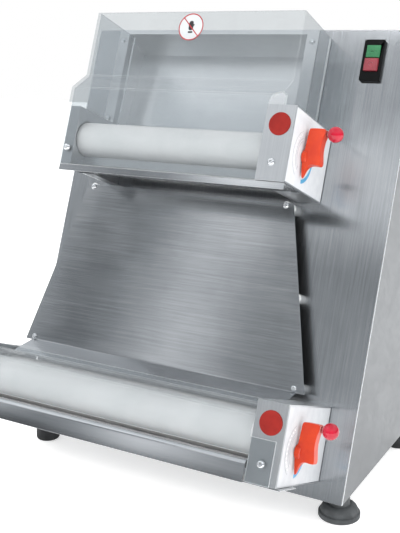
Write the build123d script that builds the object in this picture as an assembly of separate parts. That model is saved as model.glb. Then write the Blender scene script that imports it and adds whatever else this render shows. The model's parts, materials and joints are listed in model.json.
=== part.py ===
"""Two-stage bench dough sheeter with parallel rollers.

A steel casing with a leaning front carries two roller heads: a narrow one above a wide one, with a
slide plate between them. A worm-geared motor in the casing turns both heads by belts. In each head
one lever sets the gap between the two rollers. Lengths are millimetres, +Z is up, the front faces -Y.

Sizes across the front are given in the panel's own directions: x from the casing's left side, u up
the leaning front panel from its lower edge, d straight out of the panel towards the user.
"""

import math
import os
from dataclasses import dataclass

from build123d import *

# ---- Driving sizes: casing -------------------------------------------------------------------
CASING_WIDTH = 540.0
CASING_DEPTH = 345.0
PANEL_LENGTH = 655.0
PANEL_LEAN = 21.3
SHEET = 1.5
BASE_SHEET = 2.0
FOOT_HEIGHT = 40.0
FOOT_INSET_X = 20.0
FOOT_INSET_LEFT = 11.0
FOOT_INSET_Y = 44.0
FOOT_RADIUS = 19.0
PAD_RADIUS = 29.0
PAD_RIM = 8.0
PAD_EDGE = 2.0
PAD_NECK_RADIUS = 15.0
PAD_DOME = 10.0
FOOT_EDGE = 5.0
GLAND_X = 90.0
GLAND_UP = 60.0
GLAND_RADIUS = 8.0
GLAND_FLANGE = 5.0
GLAND_NUT = 3.0
GLAND_LENGTH = 16.0
LEAD_RADIUS = 4.0
VENT_LEFT = 330.0
VENT_LENGTH = 120.0
VENT_UP = 90.0
VENT_HEIGHT = 4.0
VENT_PITCH = 14.0
VENT_ROWS = 5

# ---- Driving sizes: running parts ------------------------------------------------------------
ROLLER_GAP = 1.0
GAP_TRAVEL = 4.0
LEVER_SWING = 95.0
JOURNAL_RADIUS = 6.0
BEARING_HALF = 16.0
BEARING_TALL = 6.0
BEARING_THICK = 10.0
RUNNING_FIT = 0.05
SEAT_FIT = 0.02
CLEARANCE = 0.3
ROLLER_HOLE_CLEARANCE = 1.5
GEAR_WIDTH = 8.0
GEAR_ADDENDUM = 2.6
GEAR_DEDENDUM = 3.3
PULLEY_RADIUS = 9.5
PULLEY_WIDTH = 9.0
PULLEY_FLANGE = 2.0
BELT_THICKNESS = 1.5
BELT_WIDTH = 6.0
BELT_SEAT = 0.1
BELT_ROOM = 3.0
PULLEY_INSET = 31.5
SLEEVE_REACH = 3.0
SLEEVE_END_GAP = 0.2
SLEEVE_EDGE = 1.0
ROLLER_CORE = 10.0
GEAR_SIDE_GAP = 2.0
SHAFT_PAST_GEAR = 1.0
TOOTH_ROOT_SHARE = 0.27
TOOTH_TIP_SHARE = 0.1

# ---- Driving sizes: drive --------------------------------------------------------------------
DRIVE_U = 261.0
DRIVE_D = -235.0
DRIVE_SHAFT_RADIUS = 6.0
GEARBOX_SIZE = 50.0
GEARBOX_X = 240.0
MOTOR_RADIUS = 43.0
MOTOR_Y = 290.0
MOTOR_MOUNT_HEIGHT = 20.0
PILLOW_THICK = 14.0
PILLOW_HALF = 18.0

# ---- Driving sizes: lever --------------------------------------------------------------------
LEVER_STANDOFF = 1.0
HUB_RADIUS = 12.0
HUB_THICK = 7.0
LEVER_ARM_OUT = 25.0
LEVER_ARM_UP = 38.0
LEVER_ARM_DOWN = 11.0
LEVER_ARM_THICK = 14.0
POINTER_REACH = 29.0
BALL_RADIUS = 10.6
STEM_RADIUS = 4.5
STEM_LENGTH = 1.2
CAM_RADIUS = 9.5
CAM_SHAFT_RADIUS = 4.0
CAM_THICK = 7.0
CAM_SIDE_GAP = 1.0
FOLLOWER_GAP = 2.0
FOLLOWER_TALL = 7.0
FOLLOWER_HALF = 6.0
FOLLOWER_THICK = 5.0
PIVOT_UP = 45.0
PIVOT_IN = 45.5

# ---- Driving sizes: guards and covers --------------------------------------------------------
GUARD_THICK = 3.0
BOX_WIDTH = 42.0
BOX_HEIGHT = 102.0
CAP_RADIUS = 15.5
BOLT_HEAD_RADIUS = 5.5
BOLT_RADIUS = 2.5
BRACKET_WIDTH = 17.5
SCALE_PLATE = 0.6
SCALE_MARGIN = 2.0
BOLT_UP = 25.0
BOLT_SHANK = 9.0
BOX_BOLT_IN = 19.5
CAP_IN = 22.0
CAP_UP = 76.0
CAP_FLANGE = 1.2
CAP_LIP = 2.0
CAP_DEPTH = 3.0
DOME_SHARE = 0.65
HOOD_TOP = 642.0
HOOD_KNEE = 543.0
HOOD_STEP = 515.0
HOOD_SHELF_D = 101.5
HOOD_RIGHT_IN = 25.0
HOOD_NOTCH_RADIUS = 19.0
COVER_LOW = 33.0
COVER_TAB_TOP = 55.0
COVER_TAB_REACH = 34.0
COVER_TAB_OVERLAP = 30.0
TRAY_LIP = 9.0
TRAY_IN = 3.0
RAIL_BACK_D = 96.0
RAIL_HEIGHT = 20.0
RAIL_ROLL_RADIUS = 7.0
RAIL_END = 6.0
SCRAPER_GAP = 0.8
SCRAPER_TALL = 12.0
SCRAPER_THICK = 1.2

# ---- Driving sizes: chute and slide ----------------------------------------------------------
CHUTE_LEFT = 58.0
CHUTE_RIGHT = 373.0
CHUTE_FLANGE = 17.0
CHUTE_BOTTOM_U = 498.0
CHUTE_TOP_U = 648.0
CHUTE_BEND_U = 631.0
CHUTE_RECESS = 50.0
CHUTE_RECESS_LOW = 37.0
CHUTE_LIP_U = 479.0
CHUTE_LIP_D = 46.0
CHUTE_BACK_RISE = 10.0
CHUTE_HOLE_SIDE = 1.0
CHUTE_HOLE_TOP = 3.0
SLIDE_CENTRE = 229.0
SLIDE_TOP_HALF = 177.0
SLIDE_BOTTOM_HALF = 241.0
SLIDE_TOP_U = 393.0
SLIDE_BEND_U = 134.0
SLIDE_STANDOFF = 22.0
SLIDE_LIP_U = 112.0
SLIDE_LIP_D = 66.0
SLIDE_LIP_IN = 3.0
SCREW_DOWN_TOP = 4.0
SCREW_UP_LOW = 6.0
FLANGE_SCREW_DOWN = 18.0
FLANGE_SCREW_UP = 9.0
SCREW_SHANK = 6.0
SCREW_INSET_TOP = 12.0
SCREW_INSET_LOW = 15.0
SCREW_HEAD_RADIUS = 4.5
SPACER_RADIUS = 6.5

# ---- Driving sizes: switch station -----------------------------------------------------------
SWITCH_X = 478.0
SWITCH_U = 609.0
SWITCH_WIDTH = 30.0
SWITCH_HEIGHT = 60.0
SWITCH_PROUD = 6.0
SWITCH_BODY_DEPTH = 42.0
BUTTON_WIDTH = 20.0
BUTTON_HEIGHT = 18.0
BUTTON_GAP = 1.5
BUTTON_TRAVEL = 2.5
BUTTON_STEM_RADIUS = 4.0
START_PROUD = 1.5
STOP_PROUD = 3.5
START_UP = 12.5
FRAME_SIDE = 3.0
FRAME_END = 4.0
FRAME_CORNER = 2.5
WELL_DEPTH = 6.0
STEM_REACH = 14.0
STEM_OVERLAP = 3.5
STEM_END_GAP = 0.5
BUTTON_EDGE = 1.0


@dataclass(frozen=True)
class Head:
    """One pair of rollers with its bracket, control box and guard."""

    name: str
    left: float  # inner face of the left bracket, where the roller comes into view
    right: float  # inner face of the control box
    bottom: float  # lower edge of the control box, up the panel
    depth: float  # how far the box stands out of the panel
    bracket_height: float
    bracket_depth: float
    roller_u: float
    roller_d: float
    roller_radius: float
    teeth: int

    @property
    def back_d(self):
        """Axis of the fixed rear roller."""
        return self.roller_d - 2 * self.roller_radius - ROLLER_GAP

    @property
    def plate(self):
        """Outer face of the control box."""
        return self.right + BOX_WIDTH

    @property
    def pivot_u(self):
        """Height of the lever's pivot."""
        return self.bottom + PIVOT_UP

    @property
    def pivot_d(self):
        """Distance of the lever's pivot from the panel."""
        return self.depth - PIVOT_IN


UPPER = Head("upper", 90.0, 393.5, 400.0, 134.0, 88.0, 129.5, 446.0, 97.5, 25.0, 17)
LOWER = Head("lower", -2.0, 460.0, 23.0, 150.0, 98.0, 150.0, 76.0, 110.5, 30.0, 20)

# ---- Directions ------------------------------------------------------------------------------
LEAN = math.radians(PANEL_LEAN)
PANEL_PLACE = Location((0, 0, FOOT_HEIGHT)) * Location((0, 0, 0), (-PANEL_LEAN, 0, 0))
CASING_TOP = FOOT_HEIGHT + PANEL_LENGTH * math.cos(LEAN)
TOP_FRONT_Y = PANEL_LENGTH * math.sin(LEAN)
EPS = 1.0  # how far a cutter runs past the face it cuts


def slab(x0, x1, u0, u1, d0, d1):
    """A block given by its ranges in the panel's directions."""
    size = (x1 - x0, d1 - d0, u1 - u0)
    return Pos((x0 + x1) / 2, -(d0 + d1) / 2, (u0 + u1) / 2) * Box(*size)


def bar(x0, x1, u, d, radius):
    """A round bar along x."""
    return Pos((x0 + x1) / 2, -d, u) * Rot(0, 90, 0) * Cylinder(radius, x1 - x0)


def stud(x, u, d0, d1, radius):
    """A round bar straight out of the panel."""
    return Pos(x, -(d0 + d1) / 2, u) * Rot(90, 0, 0) * Cylinder(radius, d1 - d0)


def profile(points, x0, x1):
    """A closed outline of (u, d) points, drawn out along x."""
    outline = Polyline(*[(x0, -d, u) for u, d in points], close=True)
    return extrude(make_face(outline), amount=x1 - x0, dir=(1, 0, 0))


def strip(points, thickness):
    """The outline of a bent sheet whose one face follows the (u, d) points."""
    path = [Vector(u, d) for u, d in points]
    offset = []
    for i, point in enumerate(path):
        before = path[max(i, 1)] - path[max(i, 1) - 1]
        after = path[min(i + 1, len(path) - 1)] - path[min(i, len(path) - 2)]
        n0 = Vector(-before.Y, before.X).normalized()
        n1 = Vector(-after.Y, after.X).normalized()
        bisector = (n0 + n1).normalized()
        offset.append(point + bisector * (thickness / bisector.dot(n0)))
    return [(p.X, p.Y) for p in path] + [(p.X, p.Y) for p in reversed(offset)]


def block(x0, x1, y0, y1, z0, z1):
    """A block given by its ranges in the world's directions."""
    return Pos((x0 + x1) / 2, (y0 + y1) / 2, (z0 + z1) / 2) * Box(x1 - x0, y1 - y0, z1 - z0)


def post(x, y, z0, z1, radius):
    """An upright round bar."""
    return Pos(x, y, (z0 + z1) / 2) * Cylinder(radius, z1 - z0)


# ---- Casing ----------------------------------------------------------------------------------
def side_panel(x0):
    """A flat side with the front edge leaning back."""
    outline = Polyline(
        (x0, 0, FOOT_HEIGHT),
        (x0, TOP_FRONT_Y, CASING_TOP),
        (x0, CASING_DEPTH, CASING_TOP),
        (x0, CASING_DEPTH, FOOT_HEIGHT),
        close=True,
    )
    return extrude(make_face(outline), amount=SHEET, dir=(1, 0, 0))


def belt_u(head, d):
    """Height of the belt's middle line at distance d from the panel."""
    share = (head.back_d - d) / (head.back_d - DRIVE_D)
    return head.roller_u + (DRIVE_U - head.roller_u) * share


def belt_slot(head):
    """The slot in the front panel that a belt passes through, inside the control box."""
    x = pulley_x(head)
    half_width = BELT_WIDTH / 2 + BELT_ROOM
    slope = math.atan2(abs(DRIVE_U - head.roller_u), head.back_d - DRIVE_D)
    reach = (PULLEY_RADIUS + BELT_SEAT + BELT_THICKNESS) / math.cos(slope) + CLEARANCE
    crossings = (belt_u(head, 0), belt_u(head, -SHEET))
    low, high = min(crossings) - reach, max(crossings) + reach
    return slab(x - half_width, x + half_width, low, high, -SHEET - EPS, EPS)


def pulley_x(head):
    """Middle of the driven pulley, in the control box."""
    return head.right + PULLEY_INSET


def casing():
    """The sheet-steel casing, its feet and the cable gland."""
    inner = CASING_WIDTH - SHEET
    front = slab(SHEET, inner, 0, PANEL_LENGTH, -SHEET, 0)
    front -= slab(
        CHUTE_LEFT - CHUTE_HOLE_SIDE,
        CHUTE_RIGHT + CHUTE_HOLE_SIDE,
        CHUTE_BOTTOM_U - CHUTE_BACK_RISE,
        CHUTE_TOP_U + CHUTE_HOLE_TOP,
        -SHEET - EPS,
        EPS,
    )
    front -= switch_body(0, -SHEET - EPS, EPS)
    for head in (UPPER, LOWER):
        front -= belt_slot(head)
    for hole in screw_holes():
        front -= hole
    seam = SHEET / math.cos(LEAN)
    back_y = CASING_DEPTH - SHEET
    gland_z = FOOT_HEIGHT + GLAND_UP
    back = block(SHEET, inner, back_y, CASING_DEPTH, FOOT_HEIGHT, CASING_TOP)
    back -= Pos(GLAND_X, back_y, gland_z) * Rot(90, 0, 0) * Cylinder(GLAND_RADIUS + SEAT_FIT, 6 * SHEET)
    for row in range(VENT_ROWS):
        low = FOOT_HEIGHT + VENT_UP + VENT_PITCH * row
        back -= block(
            VENT_LEFT, VENT_LEFT + VENT_LENGTH, back_y - EPS, CASING_DEPTH + EPS, low, low + VENT_HEIGHT
        )
    base_start = seam + BASE_SHEET * math.tan(LEAN) + CLEARANCE
    parts = {
        "front_panel": PANEL_PLACE * front,
        "left_side_panel": side_panel(0),
        "right_side_panel": side_panel(inner),
        "top_panel": block(SHEET, inner, TOP_FRONT_Y + seam, back_y, CASING_TOP - SHEET, CASING_TOP),
        "back_panel": back,
        "base_plate": block(SHEET, inner, base_start, back_y, FOOT_HEIGHT, FOOT_HEIGHT + BASE_SHEET),
        "cable_gland": gland(gland_z),
    }
    parts.update(feet())
    return parts


def gland(z):
    """The gland that the supply lead would enter by, with its lead hole open."""
    flange_thick = 4.0
    nut_half = 5.0
    nut_middle = flange_thick / 2 + 8.0
    flange = Cylinder(GLAND_RADIUS + GLAND_FLANGE, flange_thick)
    nut = Pos(0, 0, nut_middle) * extrude(RegularPolygon(GLAND_RADIUS + GLAND_NUT, 6), nut_half, both=True)
    body = Pos(0, 0, 3.0) * Cylinder(GLAND_RADIUS, GLAND_LENGTH)
    lead_hole = Cylinder(LEAD_RADIUS, 3 * GLAND_LENGTH)
    whole = flange + nut + body - lead_hole
    return Pos(GLAND_X, CASING_DEPTH + flange_thick / 2, z) * Rot(-90, 0, 0) * whole


def feet():
    """Three plain rubber feet, and the levelling foot with a wide pad at the front right."""
    rear_y = CASING_DEPTH - FOOT_INSET_Y
    plain = [
        (FOOT_INSET_LEFT, FOOT_INSET_Y),
        (FOOT_INSET_LEFT, rear_y),
        (CASING_WIDTH - FOOT_INSET_X, rear_y),
    ]
    rubber = []
    for x, y in plain:
        foot = post(x, y, 0, FOOT_HEIGHT, FOOT_RADIUS)
        rubber.append(fillet(foot.edges().group_by(Axis.Z)[0], FOOT_EDGE))
    shoulder = (PAD_RADIUS - PAD_DOME * 0.7, PAD_RIM + PAD_DOME * 0.65)
    neck = (PAD_NECK_RADIUS, PAD_RIM + PAD_DOME)
    half = make_face(
        Polyline((0, 0), (PAD_RADIUS - PAD_EDGE, 0), (PAD_RADIUS, PAD_EDGE), (PAD_RADIUS, PAD_RIM))
        + ThreePointArc((PAD_RADIUS, PAD_RIM), shoulder, neck)
        + Polyline(neck, (PAD_NECK_RADIUS, FOOT_HEIGHT), (0, FOOT_HEIGHT), (0, 0))
    )
    pad = revolve(Rot(90, 0, 0) * half, Axis.Z)
    return {
        "plain_feet": Compound(children=rubber),
        "levelling_foot": Pos(CASING_WIDTH - FOOT_INSET_X, FOOT_INSET_Y, 0) * pad,
    }


# ---- Chute and slide plate -------------------------------------------------------------------
def chute():
    """The feed chute, sunk into the front panel, with its flanges on the panel's face."""
    skin = SHEET
    path = [
        (CHUTE_TOP_U, skin / 2),
        (CHUTE_BEND_U, -CHUTE_RECESS),
        (CHUTE_BOTTOM_U + CHUTE_BACK_RISE, -CHUTE_RECESS_LOW),
        (CHUTE_LIP_U, CHUTE_LIP_D),
    ]
    pan = profile(strip(path, skin), CHUTE_LEFT, CHUTE_RIGHT)
    slope = (CHUTE_BOTTOM_U + CHUTE_BACK_RISE - CHUTE_LIP_U) / (CHUTE_LIP_D + CHUTE_RECESS_LOW)
    cheek = [*path[:3], (CHUTE_LIP_U + slope * CHUTE_LIP_D, 0.0), (CHUTE_BOTTOM_U, skin / 2)]
    for x0 in (CHUTE_LEFT, CHUTE_RIGHT - skin):
        pan += profile(cheek, x0, x0 + skin)
    corner = CHUTE_LIP_U - 6 * skin
    pan -= slab(
        CHUTE_LEFT - EPS, UPPER.left + 2 * skin, corner, CHUTE_BOTTOM_U - EPS, 0, CHUTE_LIP_D + 6 * skin
    )
    flange = slab(
        CHUTE_LEFT - CHUTE_FLANGE, CHUTE_RIGHT + CHUTE_FLANGE, CHUTE_BOTTOM_U, PANEL_LENGTH, 0, skin
    )
    flange -= slab(
        CHUTE_LEFT + skin, CHUTE_RIGHT - skin, CHUTE_BOTTOM_U - EPS, CHUTE_TOP_U, -EPS, skin + EPS
    )
    whole = pan + flange
    for hole in screw_holes():
        whole -= hole
    return whole


def slide_outline(u):
    """Half the slide plate's width at height u; the plate widens downwards."""
    share = (SLIDE_TOP_U - u) / (SLIDE_TOP_U - SLIDE_BEND_U)
    return SLIDE_TOP_HALF + (SLIDE_BOTTOM_HALF - SLIDE_TOP_HALF) * share


def slide_screw_places():
    """The plate's four screws, as (x, u)."""
    places = []
    rows = ((SLIDE_TOP_U - SCREW_DOWN_TOP, SCREW_INSET_TOP), (SLIDE_BEND_U + SCREW_UP_LOW, SCREW_INSET_LOW))
    for u, inset in rows:
        half = slide_outline(u) - inset
        places += [(SLIDE_CENTRE - half, u), (SLIDE_CENTRE + half, u)]
    return places


def chute_screw_places():
    """The chute flange's four screws, as (x, u)."""
    side = CHUTE_FLANGE / 2
    rows = (PANEL_LENGTH - FLANGE_SCREW_DOWN, CHUTE_BOTTOM_U + FLANGE_SCREW_UP)
    return [(x, u) for u in rows for x in (CHUTE_LEFT - side, CHUTE_RIGHT + side)]


def screw(x, u, seat):
    """A dome-headed screw whose head sits at distance seat from the panel."""
    dome = Pos(x, -seat, u) * Rot(90, 0, 0) * Sphere(SCREW_HEAD_RADIUS)
    keep = stud(x, u, seat, seat + DOME_SHARE * SCREW_HEAD_RADIUS, SCREW_HEAD_RADIUS)
    shank = stud(x, u, -SCREW_SHANK, seat, BOLT_RADIUS)
    return (dome & keep) + shank


def slide():
    """The slide plate, its spacers and all the small screws of the front."""
    seat = SLIDE_STANDOFF + SHEET
    plate = make_face(
        Polyline(
            (SLIDE_CENTRE - SLIDE_TOP_HALF, -SLIDE_STANDOFF, SLIDE_TOP_U),
            (SLIDE_CENTRE + SLIDE_TOP_HALF, -SLIDE_STANDOFF, SLIDE_TOP_U),
            (SLIDE_CENTRE + SLIDE_BOTTOM_HALF, -SLIDE_STANDOFF, SLIDE_BEND_U),
            (SLIDE_CENTRE - SLIDE_BOTTOM_HALF, -SLIDE_STANDOFF, SLIDE_BEND_U),
            close=True,
        )
    )
    plate = extrude(plate, amount=SHEET, dir=(0, -1, 0))
    lip = [(SLIDE_BEND_U, SLIDE_STANDOFF), (SLIDE_LIP_U, SLIDE_LIP_D)]
    half = (LOWER.right - LOWER.left) / 2 - SLIDE_LIP_IN
    middle = (LOWER.right + LOWER.left) / 2
    plate += profile(strip(lip, -SHEET), middle - half, middle + half)
    spacers, screws = [], []
    for x, u in slide_screw_places():
        hole = stud(x, u, -SHEET - EPS, seat + EPS, BOLT_RADIUS + SEAT_FIT)
        plate -= hole
        spacers.append(stud(x, u, 0, SLIDE_STANDOFF, SPACER_RADIUS) - hole)
        screws.append(screw(x, u, seat))
    for x, u in chute_screw_places():
        screws.append(screw(x, u, SHEET))
    spacers += [stud(x, u, 0, SLIDE_STANDOFF, SPACER_RADIUS) for x, u in middle_spacer_places()]
    return plate, Compound(children=spacers), screws


def middle_spacer_places():
    """The two spacers halfway down the plate's edges, which take no screw, as (x, u)."""
    u = (SLIDE_TOP_U + SLIDE_BEND_U) / 2
    half = slide_outline(u) - SCREW_INSET_TOP
    return [(SLIDE_CENTRE - half, u), (SLIDE_CENTRE + half, u)]


def screw_holes():
    """Every small screw's hole through the front panel and the chute's flange."""
    places = slide_screw_places() + chute_screw_places()
    return [stud(x, u, -SHEET - EPS, 2 * SHEET, BOLT_RADIUS + SEAT_FIT) for x, u in places]


# ---- Switch station --------------------------------------------------------------------------
def switch_body(room, d0, d1):
    """The part of the switch behind its frame, smaller all round by room."""
    half_w, half_h = SWITCH_WIDTH / 2 - FRAME_SIDE - room, SWITCH_HEIGHT / 2 - FRAME_END - room
    return slab(SWITCH_X - half_w, SWITCH_X + half_w, SWITCH_U - half_h, SWITCH_U + half_h, d0, d1)


def switch_station():
    """The no-volt switch: a black frame with a start button above a stop button."""
    half_w, half_h = SWITCH_WIDTH / 2, SWITCH_HEIGHT / 2
    frame = slab(
        SWITCH_X - half_w, SWITCH_X + half_w, SWITCH_U - half_h, SWITCH_U + half_h, 0, SWITCH_PROUD
    )
    frame = fillet(frame.edges().filter_by(Axis.Y), FRAME_CORNER)
    frame += switch_body(CLEARANCE, -SWITCH_BODY_DEPTH, 0)
    buttons = {}
    tops = {
        "start_button": (SWITCH_U + START_UP, START_PROUD),
        "stop_button": (SWITCH_U + START_UP - BUTTON_HEIGHT - BUTTON_GAP, STOP_PROUD),
    }
    well_floor = -WELL_DEPTH
    stem_end = well_floor - STEM_REACH
    room = BUTTON_TRAVEL + STEM_END_GAP
    for name, (u, proud) in tops.items():
        w, h = BUTTON_WIDTH / 2, BUTTON_HEIGHT / 2
        well = slab(
            SWITCH_X - w - CLEARANCE,
            SWITCH_X + w + CLEARANCE,
            u - h - CLEARANCE,
            u + h + CLEARANCE,
            well_floor,
            SWITCH_PROUD + EPS,
        )
        frame -= well + stud(SWITCH_X, u, stem_end, well_floor + EPS, BUTTON_STEM_RADIUS + RUNNING_FIT)
        top = SWITCH_PROUD + proud
        cap = slab(SWITCH_X - w, SWITCH_X + w, u - h, u + h, well_floor + room, top)
        cap = fillet(cap.edges().group_by(Axis.Y)[0], BUTTON_EDGE)
        stem = stud(SWITCH_X, u, stem_end + room, well_floor + STEM_OVERLAP, BUTTON_STEM_RADIUS)
        buttons[name] = cap + stem
    return {"switch_housing": frame, **buttons}


# ---- Roller heads ----------------------------------------------------------------------------
def roller_opening(head, x0, x1):
    """The long opening that both rollers pass through, with room for the gap to open."""
    radius = head.roller_radius + ROLLER_HOLE_CLEARANCE
    d0, d1 = head.back_d, head.roller_d + GAP_TRAVEL
    opening = bar(x0, x1, head.roller_u, d0, radius) + bar(x0, x1, head.roller_u, d1, radius)
    return opening + slab(x0, x1, head.roller_u - radius, head.roller_u + radius, d0, d1)


def left_bracket(head):
    """A folded housing that holds the rollers' left bearings, open at the panel."""
    x0, x1 = head.left - BRACKET_WIDTH, head.left
    depth = head.bracket_depth
    top = head.bottom + head.bracket_height
    shell = slab(x0, x1, head.bottom, top, 0, depth)
    shell -= slab(x0 + SHEET, x1 - SHEET, head.bottom + SHEET, top - SHEET, -EPS, depth - SHEET)
    shell -= roller_opening(head, x1 - SHEET - EPS, x1 + EPS)
    bolt_x, bolt_u = bracket_bolt(head)
    return shell - stud(bolt_x, bolt_u, depth - SHEET - EPS, depth + EPS, BOLT_RADIUS + SEAT_FIT)


def bracket_bolt(head):
    """The guard's bolt in the left bracket, as (x, u)."""
    return head.left - BRACKET_WIDTH / 2, head.bottom + BOLT_UP


def box_bolt(head):
    """The cover bolt in the control box's front, as (x, u)."""
    return head.right + BOX_BOLT_IN, head.bottom + BOLT_UP


def cap_place(head):
    """The round cap in the control box's front, as (x, u)."""
    return head.right + CAP_IN, head.bottom + CAP_UP


def control_box(head):
    """The folded box round the gears, with its openings, open at the panel."""
    x0, x1 = head.right, head.plate
    top = head.bottom + BOX_HEIGHT
    box = slab(x0, x1, head.bottom, top, 0, head.depth)
    box -= slab(x0 + SHEET, x1 - SHEET, head.bottom + SHEET, top - SHEET, -EPS, head.depth - SHEET)
    box -= roller_opening(head, x0 - EPS, x0 + SHEET + EPS)
    box -= bar(x1 - SHEET - EPS, x1 + EPS, head.pivot_u, head.pivot_d, CAM_SHAFT_RADIUS + RUNNING_FIT)
    cap_x, cap_u = cap_place(head)
    box -= stud(cap_x, cap_u, head.depth - SHEET - EPS, head.depth + EPS, CAP_RADIUS - CAP_LIP)
    bolt_x, bolt_u = box_bolt(head)
    return box - stud(bolt_x, bolt_u, head.depth - SHEET - EPS, head.depth + EPS, BOLT_RADIUS + SEAT_FIT)


def scale_plate(head):
    """The thin plate behind the lever that carries the gap scale."""
    x0 = head.plate
    low, high = head.bottom + SCALE_MARGIN, head.bottom + BOX_HEIGHT - SCALE_MARGIN
    plate = slab(x0, x0 + SCALE_PLATE, low, high, SCALE_MARGIN, head.depth - SCALE_MARGIN)
    hole_radius = CAM_SHAFT_RADIUS + CLEARANCE
    return plate - bar(x0 - EPS, x0 + SCALE_PLATE + EPS, head.pivot_u, head.pivot_d, hole_radius)


def face_cap(head):
    """The round plug that closes the access hole in the box's front."""
    x, u = cap_place(head)
    flange = stud(x, u, head.depth, head.depth + CAP_FLANGE, CAP_RADIUS)
    return flange + stud(x, u, head.depth - CAP_DEPTH, head.depth, CAP_RADIUS - CAP_LIP - SEAT_FIT)


def bolt(x, u, seat):
    """A dome-headed bolt, its head seated at distance seat from the panel."""
    dome = Pos(x, -seat, u) * Sphere(BOLT_HEAD_RADIUS)
    keep = stud(x, u, seat, seat + DOME_SHARE * BOLT_HEAD_RADIUS, BOLT_HEAD_RADIUS)
    return (dome & keep) + stud(x, u, seat - BOLT_SHANK, seat, BOLT_RADIUS)


def gear(head, x0, u, d, phase):
    """A long-toothed spur gear along x; phase is the first tooth's angle from +d towards +u."""
    pitch = (2 * head.roller_radius + ROLLER_GAP) / 2
    step = 2 * math.pi / head.teeth
    root, tip = pitch - GEAR_DEDENDUM, pitch + GEAR_ADDENDUM
    flanks = [
        (-TOOTH_ROOT_SHARE, root),
        (-TOOTH_TIP_SHARE, tip),
        (TOOTH_TIP_SHARE, tip),
        (TOOTH_ROOT_SHARE, root),
    ]
    points = []
    for tooth in range(head.teeth):
        for share, radius in flanks:
            angle = phase + step * (tooth + share)
            points.append((u + radius * math.sin(angle), d + radius * math.cos(angle)))
    return profile(points, x0, x0 + GEAR_WIDTH)


def rollers(head):
    """Both rollers with their shafts, gears and driven pulley, and the sliding bearings."""
    n, u, r = head.name, head.roller_u, head.roller_radius
    sleeve0, sleeve1 = head.left - SLEEVE_REACH, head.right + SHEET - SLEEVE_END_GAP
    block0, block1 = bearing_starts(head)
    gear0 = block1 + BEARING_THICK + GEAR_SIDE_GAP
    pulley0 = pulley_x(head) - PULLEY_WIDTH / 2
    places = {
        "front": (head.roller_d, math.pi, gear0 + GEAR_WIDTH + SHAFT_PAST_GEAR),
        "back": (head.back_d, math.pi / head.teeth, pulley0 + PULLEY_WIDTH),
    }
    parts = {}
    for place, (d, phase, shaft_end) in places.items():
        shaft = bar(sleeve0, sleeve1, u, d, ROLLER_CORE)
        shaft += bar(block0 + CLEARANCE, shaft_end, u, d, JOURNAL_RADIUS)
        sleeve = bar(sleeve0, sleeve1, u, d, r)
        sleeve = fillet(sleeve.edges().filter_by(GeomType.CIRCLE), SLEEVE_EDGE)
        sleeve -= bar(sleeve0 - EPS, sleeve1 + EPS, u, d, ROLLER_CORE + SEAT_FIT)
        wheel = gear(head, gear0, u, d, phase)
        wheel -= bar(gear0 - EPS, gear0 + GEAR_WIDTH + EPS, u, d, JOURNAL_RADIUS + SEAT_FIT)
        parts[f"{n}_{place}_shaft"] = shaft
        parts[f"{n}_{place}_roller"] = sleeve
        parts[f"{n}_{place}_gear"] = wheel
    parts[f"{n}_pulley"] = pulley(pulley0, u, head.back_d, JOURNAL_RADIUS)
    sliding = bearings(head, head.roller_d)
    sliding[1] += cam_follower(head, block1)
    parts[f"{n}_front_bearings"] = Compound(children=sliding)
    return parts


def bearing_starts(head):
    """Where the left and the right bearing block begin, along x."""
    left = head.left - BRACKET_WIDTH + SHEET + CLEARANCE
    return left, head.right + SHEET + CLEARANCE


def bearings(head, d):
    """The left and right bearing blocks of the roller whose axis lies at distance d."""
    u, tall = head.roller_u, head.roller_radius + BEARING_TALL
    pair = []
    for x0 in bearing_starts(head):
        x1 = x0 + BEARING_THICK
        piece = slab(x0, x1, u - tall, u + tall, d - BEARING_HALF, d + BEARING_HALF)
        pair.append(piece - bar(x0 - EPS, x1 + EPS, u, d, JOURNAL_RADIUS + RUNNING_FIT))
    return pair


def cam_throw():
    """The cam's offset that moves the follower by the full travel over the lever's swing."""
    return GAP_TRAVEL / (1 - math.cos(math.radians(LEVER_SWING)))


def cam_follower(head, block1):
    """The arm of the right sliding bearing: under the gear, then up beside the lever's cam."""
    low = head.bottom + SHEET + FOLLOWER_GAP
    high = low + FOLLOWER_TALL
    outer = head.plate - SHEET - CAM_SIDE_GAP
    cam0 = outer - CAM_THICK
    d = head.roller_d
    near = head.pivot_d + CAM_RADIUS - cam_throw() + CLEARANCE
    block_low = head.roller_u - head.roller_radius - BEARING_TALL
    d0, d1 = d - FOLLOWER_HALF, d + FOLLOWER_HALF
    far = near + FOLLOWER_THICK
    leg = slab(block1, block1 + BEARING_THICK, low, block_low, d0, d1)
    foot = slab(block1, outer, low, high, min(d0, near), max(d1, far))
    return leg + foot + slab(cam0, outer, low, head.pivot_u + FOLLOWER_HALF, near, far)


def pulley(x0, u, d, bore):
    """A flanged belt pulley along x."""
    wheel = bar(x0, x0 + PULLEY_WIDTH, u, d, PULLEY_RADIUS)
    rim = (PULLEY_WIDTH - BELT_WIDTH) / 2 - 0.4
    for start in (x0, x0 + PULLEY_WIDTH - rim):
        wheel += bar(start, start + rim, u, d, PULLEY_RADIUS + PULLEY_FLANGE)
    return wheel - bar(x0 - EPS, x0 + PULLEY_WIDTH + EPS, u, d, bore + SEAT_FIT)


# ---- Gap lever -------------------------------------------------------------------------------
def lever_seat(head):
    """Where the lever starts, just clear of the scale plate."""
    return head.plate + SCALE_PLATE + LEVER_STANDOFF


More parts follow.
